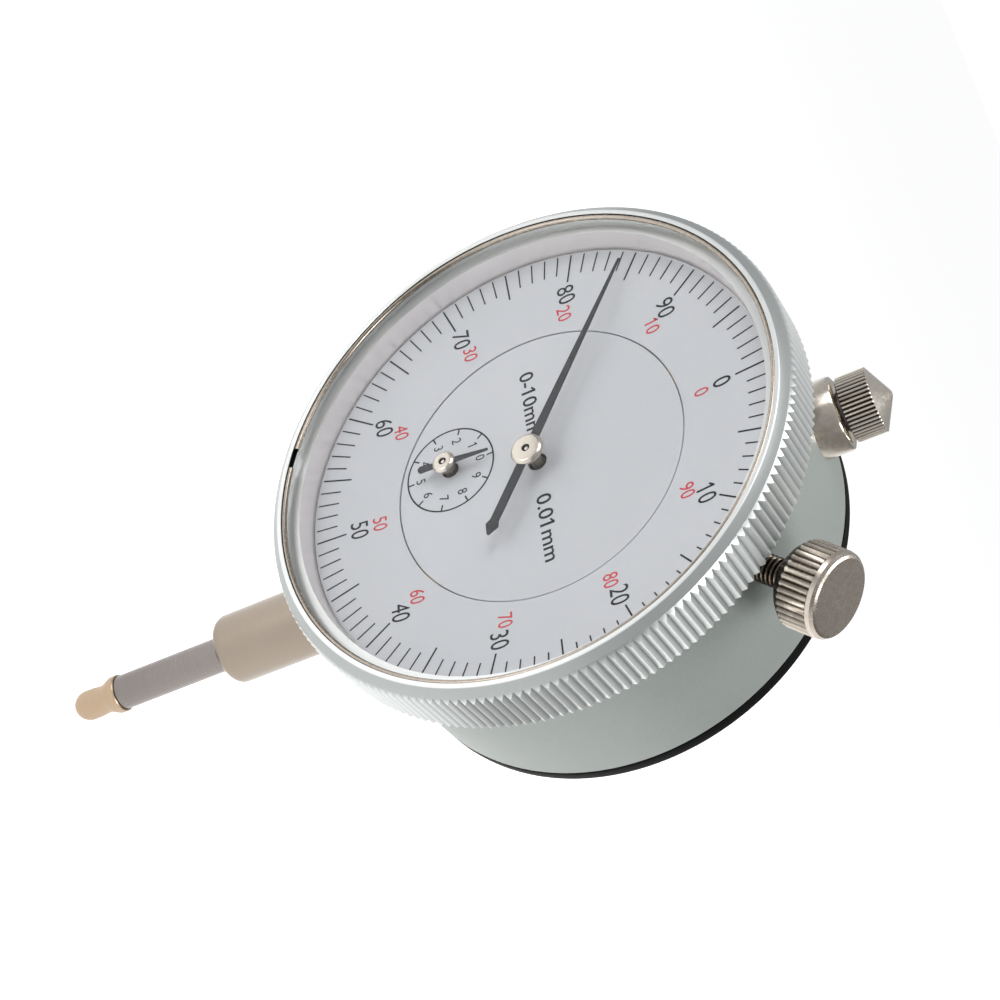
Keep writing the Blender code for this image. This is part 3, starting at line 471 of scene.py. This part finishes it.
def cut_knurl(ob: bpy.types.Object, teeth: int, bottom: float, top: float, depth: float, radius: float,
              run_out: float = 0.0) -> None:
    """Cut straight grooves in a turned piece that has four vertices to a tooth.

    Args:
        ob: The piece, widest over its teeth.
        teeth: Number of teeth.
        bottom: Lowest height of the knurl in millimetres.
        top: Highest height of the knurl.
        depth: Depth of the grooves.
        radius: Radius over the teeth.
        run_out: How far the grooves run on past the low edge, over a chamfer.
    """
    clear_selection()
    bpy.context.view_layer.objects.active = ob
    ob.select_set(True)
    bpy.ops.object.mode_set(mode="EDIT")
    for phase, share in ((0, 1.0), (1, 0.45), (3, 0.45)):
        if run_out:
            select_teeth(ob, teeth, phase, bottom, bottom)
            bpy.ops.transform.translate(value=(0, 0, -run_out * share * MM))
        select_teeth(ob, teeth, phase, bottom - run_out * share, top)
        s = (radius - depth * share) / radius
        bpy.ops.transform.resize(value=(s, s, 1), center_override=(0, 0, 0))
    bpy.ops.object.mode_set(mode="OBJECT")


def apply_boolean(ob: bpy.types.Object, tool: bpy.types.Object, operation: str) -> None:
    """Cut a tool from a piece, or join it on, and remove the tool.

    Args:
        ob: The piece.
        tool: The solid that cuts or is added.
        operation: DIFFERENCE or UNION.
    """
    clear_selection()
    bpy.context.view_layer.objects.active = ob
    mod = ob.modifiers.new("join", "BOOLEAN")
    mod.operation = operation
    mod.solver = "EXACT"
    mod.object = tool
    bpy.ops.object.modifier_apply(modifier=mod.name)
    bpy.data.objects.remove(tool, do_unlink=True)


def finish_piece(ob: bpy.types.Object, finish: Finish, body: Body,
                 place: Matrix | None = None, nodes: tuple[str, ...] = (), angle: float = 28.0) -> None:
    """Place a piece in its mesh, shade it, dress it and tie it to its body.

    Args:
        ob: The piece.
        finish: Its finish.
        body: The body it rides on.
        place: Placement from the piece's own axes to the frame.
        nodes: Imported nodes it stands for.
        angle: Edges sharper than this many degrees stay sharp.
    """
    if place is not None:
        ob.data.transform(place)
    clear_selection()
    bpy.context.view_layer.objects.active = ob
    ob.select_set(True)
    bpy.ops.object.shade_smooth_by_angle(angle=math.radians(angle))
    ob.data.materials.clear()
    ob.data.materials.append(finish.build())
    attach(ob, body.value)
    if nodes:
        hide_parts(*nodes)
    LOG.info("%s: %d faces, %s", ob.name, len(ob.data.polygons), finish.name)


def on_dial(across: float, up: float, lift: float) -> Matrix:
    """Placement of a flat print on the dished dial, its own Z axis towards the reader.

    Args:
        across: Middle of the print, to the right of the centre, in millimetres.
        up: Middle of the print, above the centre.
        lift: Height of its middle over the lacquer.

    Returns:
        The placement, tilted to the slope of the dial there.
    """
    radius = math.hypot(across, up)
    step = 0.2
    rise = dish(radius - step) - dish(radius + step) if radius > RING_R + step else 0.0
    slope = math.atan2(rise, 2 * step)
    tilt = Matrix.Rotation(slope, 4, Vector((up, -across, 0)) if radius else Vector((0, 0, 1)))
    reader = Matrix.Rotation(math.pi / 2, 4, "X")
    spot = Vector((across, DIAL_Y + dish(radius) - lift, DIAL_Z + up)) * MM
    return Matrix.Translation(spot) @ reader @ tilt


def add_flags(ob: bpy.types.Object) -> bpy.types.Object:
    """Give each figure one, drawn as a plain upright, its slanting flag.

    Args:
        ob: The word, in units of the font's own size.

    Returns:
        The word with its flags.
    """
    clear_selection()
    ob.select_set(True)
    bpy.context.view_layer.objects.active = ob
    bpy.ops.mesh.separate(type="LOOSE")
    glyphs = list(bpy.context.selected_objects)
    flags = []
    for glyph in glyphs:
        xs = [v.co.x for v in glyph.data.vertices]
        ys = [v.co.y for v in glyph.data.vertices]
        if max(xs) - min(xs) < 0.15 and max(ys) - min(ys) > 0.5:
            flags.append(block((0.24, 0.085, INK_THICK), (min(xs) - 0.04, max(ys) - 0.11, 0),
                               (0, 0, math.radians(40)), 1.0))
    return join("word", glyphs + flags)


def lettering(text: str, height: float, across: float, up: float, bold: float = 0.0,
              narrow: float = 1.0, width: float | None = None) -> bpy.types.Object:
    """Print a word on the dial, upright, laid on the dished face.

    Args:
        text: Generic numerals or units.
        height: Height of the figures in millimetres.
        across: Middle of the word, to the right of the centre.
        up: Middle of the word, above the centre.
        bold: Share of the size added to each side of the strokes.
        narrow: Width of the figures against the font's own.
        width: Full width in millimetres, in place of narrow.

    Returns:
        The printed word as a thin solid.
    """
    clear_selection()
    bpy.ops.object.text_add()
    ob = bpy.context.object
    ob.data.body = text
    ob.data.size = 1.0
    ob.data.offset = bold
    ob.data.extrude = INK_THICK / 2
    ob.data.resolution_u = 4
    bpy.ops.object.convert(target="MESH")
    ob = add_flags(bpy.context.object)
    xs = [v.co.x for v in ob.data.vertices]
    ys = [v.co.y for v in ob.data.vertices]
    tall = height / (max(ys) - min(ys))
    wide = tall * narrow if width is None else width / (max(xs) - min(xs))
    middle = Matrix.Translation((-(max(xs) + min(xs)) / 2, -(max(ys) + min(ys)) / 2, 0))
    ob.data.transform(Matrix.Diagonal((wide * MM, tall * MM, MM, 1)) @ middle)
    ob.data.transform(on_dial(across, up, INK_LIFT))
    return ob


def strokes(name: str, inner: float, outer: float, width: float, count: int,
            across: float = 0.0, up: float = 0.0) -> bpy.types.Object:
    """Print one radial division line and copy it round its scale.

    Args:
        name: Name of the lines.
        inner: Inner radius in millimetres.
        outer: Outer radius.
        width: Width of a line.
        count: Number of lines, the first straight up.
        across: Centre of the scale, right of the dial's centre.
        up: Centre of the scale, above the dial's centre.

    Returns:
        The lines as one thin solid each, joined.
    """
    line = block((width, outer - inner, INK_THICK), (0, 0, 0))
    middle = (inner + outer) / 2
    line.data.transform(Matrix.Translation((0, 0, -DIAL_Z * MM)) @ on_dial(0.0, middle, INK_LIFT))
    centre = Matrix.Translation(Vector((across, 0, DIAL_Z + up)) * MM)
    lines = []
    for k in range(count):
        copy = line.copy()
        copy.data = line.data.copy()
        bpy.context.scene.collection.objects.link(copy)
        copy.data.transform(centre @ Matrix.Rotation(2 * math.pi * k / count + DIAL_TURN, 4, "Y"))
        lines.append(copy)
    bpy.data.objects.remove(line, do_unlink=True)
    return join(name, lines)


def join(name: str, pieces: list[bpy.types.Object]) -> bpy.types.Object:
    """Join pieces into one object.

    Args:
        name: Name of the joined object.
        pieces: The pieces, each a closed solid.

    Returns:
        The joined object, its faces outward.
    """
    clear_selection()
    for ob in pieces:
        ob.select_set(True)
    bpy.context.view_layer.objects.active = pieces[0]
    bpy.ops.object.join()
    ob = bpy.context.object
    ob.name = name
    bpy.ops.object.mode_set(mode="EDIT")
    bpy.ops.mesh.select_all(action="SELECT")
    bpy.ops.mesh.normals_make_consistent(inside=False)
    bpy.ops.object.mode_set(mode="OBJECT")
    return ob


# ---- sub-assemblies -------------------------------------------------------------------------------
@dataclass
class Case:
    """Round case with its stem, upper sleeve and back cover."""

    radius: float = 26.5
    wall: float = 2.0
    front: float = 2.6
    back: float = 18.8
    spigot: float = 25.0
    spigot_front: float = 1.9
    neck: float = 23.0
    neck_back: float = 9.4
    stem_radius: float = 4.0
    stem_root: float = 23.3
    stem_lip: float = 1.25
    bore: float = 2.06
    stem_end: float = -44.6
    sleeve_top: float = 29.3
    cover: float = 1.5
    lug_width: float = 5.0
    lug_reach: float = 8.5
    lug_radius: float = 6.5
    lug_hole: float = 3.25
    screws: int = 4
    screw_circle: float = 23.0

    def build(self) -> None:
        """Model and dress every fixed outer piece."""
        self.shell()
        self.stem()
        self.sleeve()
        self.back_cover()
        self.cover_screws()

    def shell(self) -> None:
        """Turned shell of the case with its front spigot."""
        inner = self.radius - self.wall
        prof = [(self.radius, self.front), (self.radius, self.back), (inner, self.back),
                (inner, self.neck_back + 1.0), (self.neck, self.neck_back), (self.neck, self.spigot_front),
                (self.spigot, self.spigot_front), (self.spigot, self.front)]
        ob = turn("case_shell", soften(prof, 0.25, True), 192, True)
        finish_piece(ob, CASE_ALU, Body.CASE, dial_axis(), ("case",))

    def stem(self) -> None:
        """Clamping stem with a rounded lower lip."""
        end, r, root, lip = self.stem_end, self.stem_radius, -self.stem_root, self.stem_lip
        curve = [(r - lip * (1 - math.cos(t)), end + lip * (1 - math.sin(t)))
                 for t in (math.radians(a) for a in range(0, 90, 10))]
        prof = [(r, root)] + curve + [(self.bore + 0.35, end), (self.bore, end + 0.35), (self.bore, root)]
        ob = turn("clamping_stem", prof, 96, True)
        finish_piece(ob, NICKEL, Body.CASE, spindle_axis(), ("stem",))

    def sleeve(self) -> None:
        """Guide sleeve on top of the case."""
        r, top, root = self.stem_radius, self.sleeve_top, self.stem_root
        prof = [(r, root), (r, top - 0.4), (r - 0.1, top - 0.15), (r - 0.4, top), (self.bore + 0.3, top),
                (self.bore, top - 0.3), (self.bore, root)]
        ob = turn("guide_sleeve", prof, 96, True)
        finish_piece(ob, NICKEL_CAP, Body.CASE, spindle_axis(), ("upper_sleeve",))

    def cross_pin(self, radius: float, length: float) -> bpy.types.Object:
        """Cylinder across the lug, on the axis of its hole.

        Args:
            radius: Its radius in millimetres.
            length: Its length from left to right.

        Returns:
            The cylinder, its place applied to the mesh.
        """
        clear_selection()
        face = self.back + 0.1 + self.cover
        y = DIAL_Y + face + self.lug_reach
        bpy.ops.mesh.primitive_cylinder_add(vertices=64, radius=radius * MM, depth=length * MM,
                                            location=(0, y * MM, DIAL_Z * MM), rotation=(0, math.pi / 2, 0))
        bpy.ops.object.transform_apply(location=True, rotation=True, scale=True)
        return bpy.context.object

    def screw_spots(self) -> list[tuple[float, float, float]]:
        """Angle from the top, right and up of each cover screw."""
        angles = [math.radians(45 + 360 / self.screws * k) for k in range(self.screws)]
        return [(a, self.screw_circle * math.sin(a), self.screw_circle * math.cos(a)) for a in angles]

    def back_cover(self) -> None:
        """Enamelled cover with the lug raised from its middle."""
        y0 = self.back + 0.1
        face = y0 + self.cover
        r = self.radius
        ob = turn("back_plate_cover", soften([(r - 1.0, y0), (r, y0), (r, face), (r - 1.0, face)], 0.4), 192)
        ob.data.transform(dial_axis())
        boss = self.cross_pin(self.lug_radius, self.lug_width)
        sunk = 0.6
        length = self.lug_reach + sunk
        web = block((self.lug_width, length, 2 * self.lug_radius),
                    (0, DIAL_Y + face - sunk + length / 2, DIAL_Z))
        apply_boolean(boss, web, "UNION")
        apply_boolean(ob, boss, "UNION")
        apply_boolean(ob, self.cross_pin(self.lug_hole, 3 * self.lug_width), "DIFFERENCE")
        for _, x, z in self.screw_spots():
            seat = turn("seat", [(2.0, face - 0.7), (2.0, face + 1.0)], 48)
            seat.data.transform(dial_axis(x, z))
            apply_boolean(ob, seat, "DIFFERENCE")
        clear_selection()
        bpy.context.view_layer.objects.active = ob
        edge = ob.modifiers.new("edge", "BEVEL")
        edge.width = 0.3 * MM
        edge.segments = 3
        edge.limit_method = "ANGLE"
        edge.angle_limit = math.radians(50)
        bpy.ops.object.modifier_apply(modifier=edge.name)
        finish_piece(ob, COVER_ENAMEL, Body.CASE, None, ("back_cover",))

    def cover_screws(self) -> None:
        """Slotted screws flush in the cover, each stopped at its own angle."""
        face = self.back + 0.1 + self.cover
        prof = [(0.9, face - 4.8), (0.9, face - 0.6), (1.9, face - 0.55), (1.9, face - 0.25),
                (1.7, face - 0.12), (0.5, face - 0.08)]
        for k, (angle, x, z) in enumerate(self.screw_spots()):
            ob = turn("cover_screw_head_%d" % (k + 1), prof, 48)
            ob.data.transform(dial_axis(x, z))
            slot = block((5.0, 0.7, 0.45), (x, DIAL_Y + face, DIAL_Z + z), (0, angle + 0.6 * k, 0))
            apply_boolean(ob, slot, "DIFFERENCE")
            finish_piece(ob, NICKEL_HUB, Body.CASE, None, ("cover_screw_%d" % (k + 1),))


@dataclass
class Rim:
    """Turning bezel with its crystal, split ring and dished dial."""

    radius: float = 29.0
    teeth: int = 190
    groove: float = 0.36
    run_out: float = 0.62
    knurl_front: float = -2.9
    knurl_back: float = 2.3
    bore: float = 25.16
    lip: float = 27.3
    wall: float = 25.95
    wall_back: float = 0.5
    seat: float = -2.8
    crystal_front: float = -3.5
    crystal_back: float = -2.9
    wire: float = 0.29
    ring_radius: float = 27.13
    ring_depth: float = -3.82
    ring_middle: float = 194.0
    ring_gap: float = 5.0
    ticks: int = 100
    tick_inner: float = 23.1

    def build(self) -> None:
        """Model and dress the turning group."""
        self.bezel()
        self.crystal()
        self.split_ring()
        self.dial()
        self.divisions()
        self.numerals()

    def bezel(self) -> None:
        """Bezel with a rounded front, its straight knurl and the seats inside."""
        ring, groove = self.crystal_front, 27.55
        front = [(self.lip, -4.08), (self.lip + 0.06, -4.2), (self.lip + 0.44, -4.2),
                 (self.lip + 0.52, -4.16), (28.3, -3.82), (28.62, -3.58)]
        teeth = [(self.radius, self.knurl_front), (self.radius, 0.0), (self.radius, self.knurl_back)]
        inside = [(self.bore, self.knurl_back), (self.bore, self.wall_back), (self.wall, self.wall_back),
                  (self.wall, self.seat), (self.lip, self.seat), (self.lip, ring), (groove, ring),
                  (groove, -4.08)]
        ob = turn("bezel_knurled", front + teeth + inside, self.teeth * 4, True)
        cut_knurl(ob, self.teeth, self.knurl_front, self.knurl_back, self.groove, self.radius,
                  self.run_out)
        finish_piece(ob, BEZEL_ALU, Body.RIM, dial_axis(), ("bezel",), 24.0)

    def crystal(self) -> None:
        """Flat crystal with a polished edge."""
        r, front, back = self.lip - 0.15, self.crystal_front, self.crystal_back
        prof = [(r - 0.15, front), (r, front + 0.12), (r, back - 0.12), (r - 0.15, back)]
        ob = turn("crystal_clear", prof, 192)
        finish_piece(ob, ACRYLIC, Body.RIM, dial_axis(), ("crystal",))

    def split_ring(self) -> None:
        """Wire ring, spun from a circle and left open at the gap."""
        clear_selection()
        mid = math.radians(self.ring_middle + self.ring_gap / 2)
        span = 2 * math.pi - math.radians(self.ring_gap)
        bpy.ops.mesh.primitive_circle_add(vertices=16, radius=self.wire * MM,
                                          location=(self.ring_radius * MM, 0, 0),
                                          rotation=(math.pi / 2, 0, 0), fill_type="NGON")
        ob = bpy.context.object
        ob.name = "crystal_split_ring"
        bpy.ops.object.transform_apply(location=True, rotation=True, scale=True)
        bpy.ops.object.mode_set(mode="EDIT")
        bpy.ops.mesh.select_all(action="SELECT")
        bpy.ops.mesh.spin(steps=180, angle=span, center=(0, 0, 0), axis=(0, 0, 1))
        bpy.ops.mesh.select_all(action="SELECT")
        bpy.ops.mesh.remove_doubles(threshold=1e-6)
        bpy.ops.mesh.normals_make_consistent(inside=False)
        bpy.ops.object.mode_set(mode="OBJECT")
        # local +Z runs back, so an angle clockwise from the cap is measured from local -Y
        ob.data.transform(Matrix.Rotation(mid - math.pi / 2, 4, "Z"))
        ob.data.transform(Matrix.Translation((0, 0, self.ring_depth * MM)))
        finish_piece(ob, SPRING_STEEL, Body.RIM, dial_axis(), ("crystal_ring",))

    def dial(self) -> None:
        """Dished outer dial."""
        radii = [RING_R, 17.5, 19.0, 20.5, FOLD_R, 23.8, DIVISION_R, self.wall - 0.2]
        sheet = 0.4
        prof = [(r, dish(r)) for r in radii] + [(r, dish(r) + sheet) for r in reversed(radii)]
        ob = turn("dial_dished", prof, 192, True)
        finish_piece(ob, DIAL_LACQUER, Body.RIM, dial_axis(), ("dial_ring",))

    def divisions(self) -> None:
        """Hundred division lines, with a longer one over each fifth."""
        short = strokes("short", self.tick_inner, DIVISION_R, 0.16, self.ticks)
        long = strokes("long", FOLD_R, DIVISION_R, 0.19, self.ticks // 5)
        finish_piece(join("dial_divisions", [short, long]), INK_BLACK, Body.RIM)

    def numerals(self) -> None:
        """Black figures clockwise and red figures the other way, all upright."""
        for name, radius, height, finish, way in (("dial_figures", 20.6, 2.0, INK_BLACK, 1),
                                                  ("dial_figures_red", 18.3, 1.6, INK_RED, -1)):
            words = []
            for k in range(10):
                value = (10 * k if way > 0 else 100 - 10 * k) % 100
                a = 2 * math.pi * k / 10 + DIAL_TURN
                words.append(lettering(str(value), height, radius * math.sin(a), radius * math.cos(a),
                                       0.0, 0.80))
            finish_piece(join(name, words), finish, Body.RIM)


@dataclass
class InnerDial:
    """Fixed middle of the dial with the small scale and the legends."""

    radius: float = 15.97
    sheet: float = 0.4
    hole: float = 1.05
    small_hole: float = 0.98
    scale_radius: float = 5.05
    figure_radius: float = 3.52

    def build(self) -> None:
        """Model and dress the middle of the dial."""
        d = MIDDLE_DEPTH
        back = d + self.sheet
        prof = [(self.hole, d), (self.radius - 0.05, d), (self.radius, d + 0.05), (self.radius, back),
                (self.hole, back)]
        ob = turn("dial_middle", prof, 192, True)
        tool = turn("tool", [(self.small_hole, d - 1), (self.small_hole, d + 1)], 48)
        tool.data.transform(Matrix.Translation((SMALL_DIAL[0] * MM, -SMALL_DIAL[1] * MM, 0)))
        apply_boolean(ob, tool, "DIFFERENCE")
        finish_piece(ob, DIAL_LACQUER, Body.CASE, dial_axis(), ("inner_dial",))
        self.small_scale()
        self.legends()

    def small_scale(self) -> None:
        """Ring, ten lines and figures of the millimetre counter, counting anticlockwise."""
        x0, z0 = SMALL_DIAL
        r, d = self.scale_radius, MIDDLE_DEPTH
        ring = turn("small_ring", [(r - 0.09, d + 0.01), (r - 0.09, d - 0.012), (r + 0.09, d - 0.012),
                                   (r + 0.09, d + 0.01)], 128, True)
        ring.data.transform(dial_axis(x0, z0))
        marks = [ring, strokes("mark", r - 0.75, r - 0.05, 0.17, 10, x0, z0)]
        finish_piece(join("small_scale", marks), INK_BLACK, Body.CASE)
        words = []
        for k in range(10):
            a = -2 * math.pi * k / 10 + DIAL_TURN
            x, z = x0 + self.figure_radius * math.sin(a), z0 + self.figure_radius * math.cos(a)
            words.append(lettering(str(k), 1.08, x, z, 0.0, 0.9))
        finish_piece(join("small_figures", words), INK_BLACK, Body.CASE)

    def legends(self) -> None:
        """Range and value of one division."""
        words = [lettering("0-10mm", 1.65, -7.75, 0.12, 0.008, width=8.4),
                 lettering("0.01mm", 1.65, 8.35, 0.12, 0.008, width=8.15)]
        finish_piece(join("dial_legends", words), INK_BLACK, Body.CASE)


@dataclass
class Hands:
    """Hubs and collets of the two hands."""

    main_face: float = -1.63
    small_face: float = -0.72

    def build(self) -> None:
        """Model and dress the hubs and collets."""
        for name, radius, face, back, spot, body, node in (
                ("main_hub_disc", 1.8, self.main_face, -1.18, (0.0, 0.0), Body.CENTRE, "main_hub"),
                ("small_hub_disc", 1.3, self.small_face, -0.41, SMALL_DIAL, Body.FIRST, "small_hub")):
            prof = [(0.1, face + 0.14), (0.2, face + 0.16), (0.24, face + 0.4), (0.39, face + 0.4),
                    (0.40, face + 0.05), (0.45, face), (radius - 0.42, face),
                    (radius - 0.28, face + 0.03), (radius - 0.06, face + 0.2), (radius, face + 0.27),
                    (radius, back)]
            ob = turn(name, prof, 96)
            finish_piece(ob, NICKEL_HUB, body, dial_axis(*spot), (node,))
        for name, y0, spot, body, node in (
                ("main_collet_tube", -0.97, (0.0, 0.0), Body.CENTRE, "main_collet"),
                ("small_collet_tube", -0.2, SMALL_DIAL, Body.FIRST, "small_collet")):
            prof = [(0.52, y0), (0.85, y0), (0.85, y0 + 0.7), (0.7, y0 + 0.9), (0.7, 1.8), (0.52, 1.8)]
            ob = turn(name, prof, 64, True)
            finish_piece(ob, NICKEL, body, dial_axis(*spot), (node,))


@dataclass
class Plunger:
    """Lifting cap and contact point at the two ends of the visible spindle."""

    cap_radius: float = 3.46
    cap_base: float = 29.65
    cap_knurl: float = 32.8
    cap_tip: float = 34.5
    cap_teeth: int = 46
    contact_top: float = -59.1
    contact_end: float = -65.5

    def build(self) -> None:
        """Model and dress the plunger's outer pieces."""
        self.cap()
        self.contact()

    def cap(self) -> None:
        """Knurled cap with a coned top."""
        r, base, top, tip = self.cap_radius, self.cap_base, self.cap_knurl, self.cap_tip
        prof = [(1.1, base + 2.3), (1.1, base), (r - 0.3, base), (r, base + 0.12), (r, base + 1.2),
                (r, top), (r - 0.14, top + 0.08), (0.45, tip - 0.1), (0.25, tip - 0.01), (0.1, tip)]
        ob = turn("lifting_cap_knurled", prof, self.cap_teeth * 4)
        cut_knurl(ob, self.cap_teeth, base + 0.12, top, 0.22, r)
        finish_piece(ob, NICKEL_CAP, Body.PLUNGER, spindle_axis(), ("lifting_cap",), 20.0)

    def contact(self) -> None:
        """Contact point with its collar, waist and round nose."""
        top, end = self.contact_top, self.contact_end
        nose = 1.75
        curve = [(nose * math.cos(t), end + nose - nose * math.sin(t))
                 for t in (math.radians(a) for a in (0, 12, 24, 36, 48, 60, 70, 80, 86))]
        prof = [(1.0, top + 2.0), (1.0, top), (2.1, top), (2.2, top - 0.12), (2.2, top - 0.9),
                (2.1, top - 1.15), (1.75, top - 1.9), (1.64, top - 2.2), (1.66, top - 2.7),
                (1.73, top - 3.4)] + curve
        ob = turn("contact_point_turned", prof, 96)
        finish_piece(ob, CONTACT_BRASS, Body.PLUNGER, spindle_axis(), ("contact_point",), 35.0)


@dataclass
class LockScrew:
    """Thumb screw on the side of the case."""

    face: float = 35.3
    knob_radius: float = 4.35
    knob_length: float = 5.6
    thread: float = 1.5
    pitch: float = 0.5
    teeth: int = 38

    def place(self) -> Matrix:
        """Placement with local +Z out along the screw."""
        turn_to = Vector((0, 0, 1)).rotation_difference(Vector(LOCK_AXIS)).to_matrix().to_4x4()
        return Matrix.Translation(Vector(LOCK_CENTRE) * MM) @ turn_to

    def build(self) -> None:
        """Model the threaded shank and the knurled knob as one screw."""
        inner = self.face - self.knob_length
        prof = [(1.0, 23.4), (self.thread - 0.3, 23.6)]
        h = 23.8
        while h < inner - self.pitch:
            prof += [(self.thread - 0.3, h), (self.thread, h + 0.18), (self.thread, h + 0.3),
                     (self.thread - 0.3, h + 0.48)]
            h += self.pitch
        r, f = self.knob_radius, self.face
        prof += [(self.thread - 0.3, inner), (2.2, inner), (2.9, inner + 0.2), (3.6, inner + 0.75),
                 (r, inner + 1.6), (r, inner + 3.2), (r, f - 0.95), (r - 0.02, f - 0.8), (r - 0.12, f - 0.4),
                 (r - 0.35, f - 0.12), (r - 0.6, f)]
        ob = turn("lock_screw_knurled", prof, self.teeth * 4)
        cut_knurl(ob, self.teeth, inner + 1.6, f - 0.95, 0.28, r)
        finish_piece(ob, NICKEL_KNOB, Body.LOCK, self.place(), ("lock_screw",), 24.0)


@dataclass
class Studio:
    """Camera, floor and soft light."""

    azimuth: float = 39.753
    elevation: float = 18.187
    distance: float = 185.6
    roll: float = 68.282
    lens: float = 66.56
    aim: tuple[float, float, float] = (3.81, -11.7, 30.85)
    bright_side: tuple[float, float, float] = (-0.66, -0.36, 0.66)

    def build(self) -> None:
        """Set up the view, the floor and the lights."""
        self.camera()
        self.floor()
        self.world()
        self.lights()

    def camera(self) -> None:
        """Camera on a level ring about its aim, rolled in its own axis."""
        a, e = math.radians(self.azimuth), math.radians(self.elevation)
        back = Vector((math.sin(a) * math.cos(e), -math.cos(a) * math.cos(e), math.sin(e)))
        cam = bpy.data.objects.new("camera", bpy.data.cameras.new("camera"))
        bpy.context.scene.collection.objects.link(cam)
        cam.data.lens = self.lens
        cam.data.sensor_width = 36.0
        cam.data.clip_start = 0.005
        cam.location = (Vector(self.aim) + back * self.distance) * MM
        level = (-back).to_track_quat("-Z", "Y").to_matrix().to_4x4()
        cam.rotation_euler = (level @ Matrix.Rotation(math.radians(self.roll), 4, "Z")).to_euler()
        bpy.context.scene.camera = cam

    def floor(self) -> None:
        """Pale floor just under the contact point, glowing with painted light that grows brighter away from
        the camera.
        """
        clear_selection()
        bpy.ops.mesh.primitive_plane_add(size=30.0, location=(0, 0, -0.0312))
        ob = bpy.context.object
        ob.name = "floor"
        mat = bpy.data.materials.new("paper_floor_with_painted_light")
        mat.use_nodes = True
        shader = mat.node_tree.nodes["Principled BSDF"]
        shader.inputs["Base Color"].default_value = linear("#EDEDEC")
        shader.inputs["Roughness"].default_value = 0.9
        shader.inputs["Specular IOR Level"].default_value = 0.0
        # Painted light: the floor glows, weakly towards the camera and strongly away from it, like a pool of
        # light.
        shader.inputs["Emission Color"].default_value = linear("#FFFFFF")
        place = add_node(mat, "ShaderNodeTexCoord")
        away = add_node(mat, "ShaderNodeVectorMath", {1: (-0.64, 0.77, 0.0)}, {0: place.outputs["Object"]},
                        operation="DOT_PRODUCT")
        floor_painted_light = add_node(mat, "ShaderNodeMapRange",
                        {"From Min": -120 * MM, "From Max": 30 * MM, "To Min": 0.2, "To Max": 0.62},
                        {"Value": away.outputs["Value"]}, interpolation_type="SMOOTHSTEP")
        mat.node_tree.links.new(floor_painted_light.outputs["Result"], shader.inputs["Emission Strength"])
        ob.data.materials.append(mat)

    def world(self) -> None:
        """White surround, with a darker side so that metal shows its form."""
        world = bpy.data.worlds.new("studio")
        bpy.context.scene.world = world
        world.use_nodes = True
        tree = world.node_tree
        back = tree.nodes["Background"]
        back.inputs["Strength"].default_value = 0.75
        place = add_node(world, "ShaderNodeTexCoord")
        split = add_node(world, "ShaderNodeVectorMath", {1: self.bright_side},
                         {0: place.outputs["Generated"]}, operation="DOT_PRODUCT")
        half = add_node(world, "ShaderNodeMapRange", {"From Min": -1.0}, {"Value": split.outputs["Value"]})
        ramp = add_node(world, "ShaderNodeValToRGB", links={"Fac": half.outputs["Result"]})
        ramp.color_ramp.elements[0].position = 0.25
        ramp.color_ramp.elements[0].color = (0.30, 0.295, 0.29, 1)
        ramp.color_ramp.elements[1].position = 0.75
        ramp.color_ramp.elements[1].color = (0.62, 0.625, 0.64, 1)
        tree.links.new(ramp.outputs["Color"], back.inputs["Color"])
        seen = add_node(world, "ShaderNodeLightPath")
        white = add_node(world, "ShaderNodeBackground", {"Strength": 1.15, "Color": (1, 1, 1, 1)})
        mix = add_node(world, "ShaderNodeMixShader",
                       links={0: seen.outputs["Is Camera Ray"], 1: back.outputs[0], 2: white.outputs[0]})
        tree.links.new(mix.outputs[0], tree.nodes["World Output"].inputs["Surface"])

    def lights(self) -> None:
        """Large key in front and above, a small strip close by, and lamps to the right and on top."""
        focus = Vector((0, -10, 35)) * MM
        for name, spot, size, power in (("key", (-140, -380, 250), 0.22, 0.72),
                                        ("strip", (-6, -105, -8), 0.030, 0.014),
                                        ("right", (330, -40, 330), 0.16, 0.95),
                                        ("top", (40, 60, 460), 0.26, 1.1)):
            lamp = bpy.data.lights.new(name, "AREA")
            lamp.size = size
            lamp.energy = power
            ob = bpy.data.objects.new(name, lamp)
            bpy.context.scene.collection.objects.link(ob)
            ob.location = Vector(spot) * MM
            ob.rotation_euler = (focus - ob.location).to_track_quat("-Z", "Y").to_euler()


def dress_nodes(frame: dict) -> None:
    """Give every carried-over node the finish of its slot.
    """
    slots = {entry["node"]: entry["material_slot"] for entry in frame["record"]["subparts"]}
    for name, ob in frame["nodes"].items():
        finish = SLOT_FINISH[slots[name]]
        ob.data.materials.clear()
        ob.data.materials.append(finish.build())
        LOG.info("%s keeps its shape, %s", name, finish.name)


def main() -> None:
    """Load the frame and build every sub-assembly."""
    logging.basicConfig(level=logging.INFO, format="%(message)s")
    bpy.context.scene.view_settings.view_transform = "Standard"
    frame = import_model()
    dress_nodes(frame)
    for part in (Studio(), Case(), Rim(), InnerDial(), Hands(), Plunger(), LockScrew()):
        part.build()


if __name__ == "__main__":
    main()
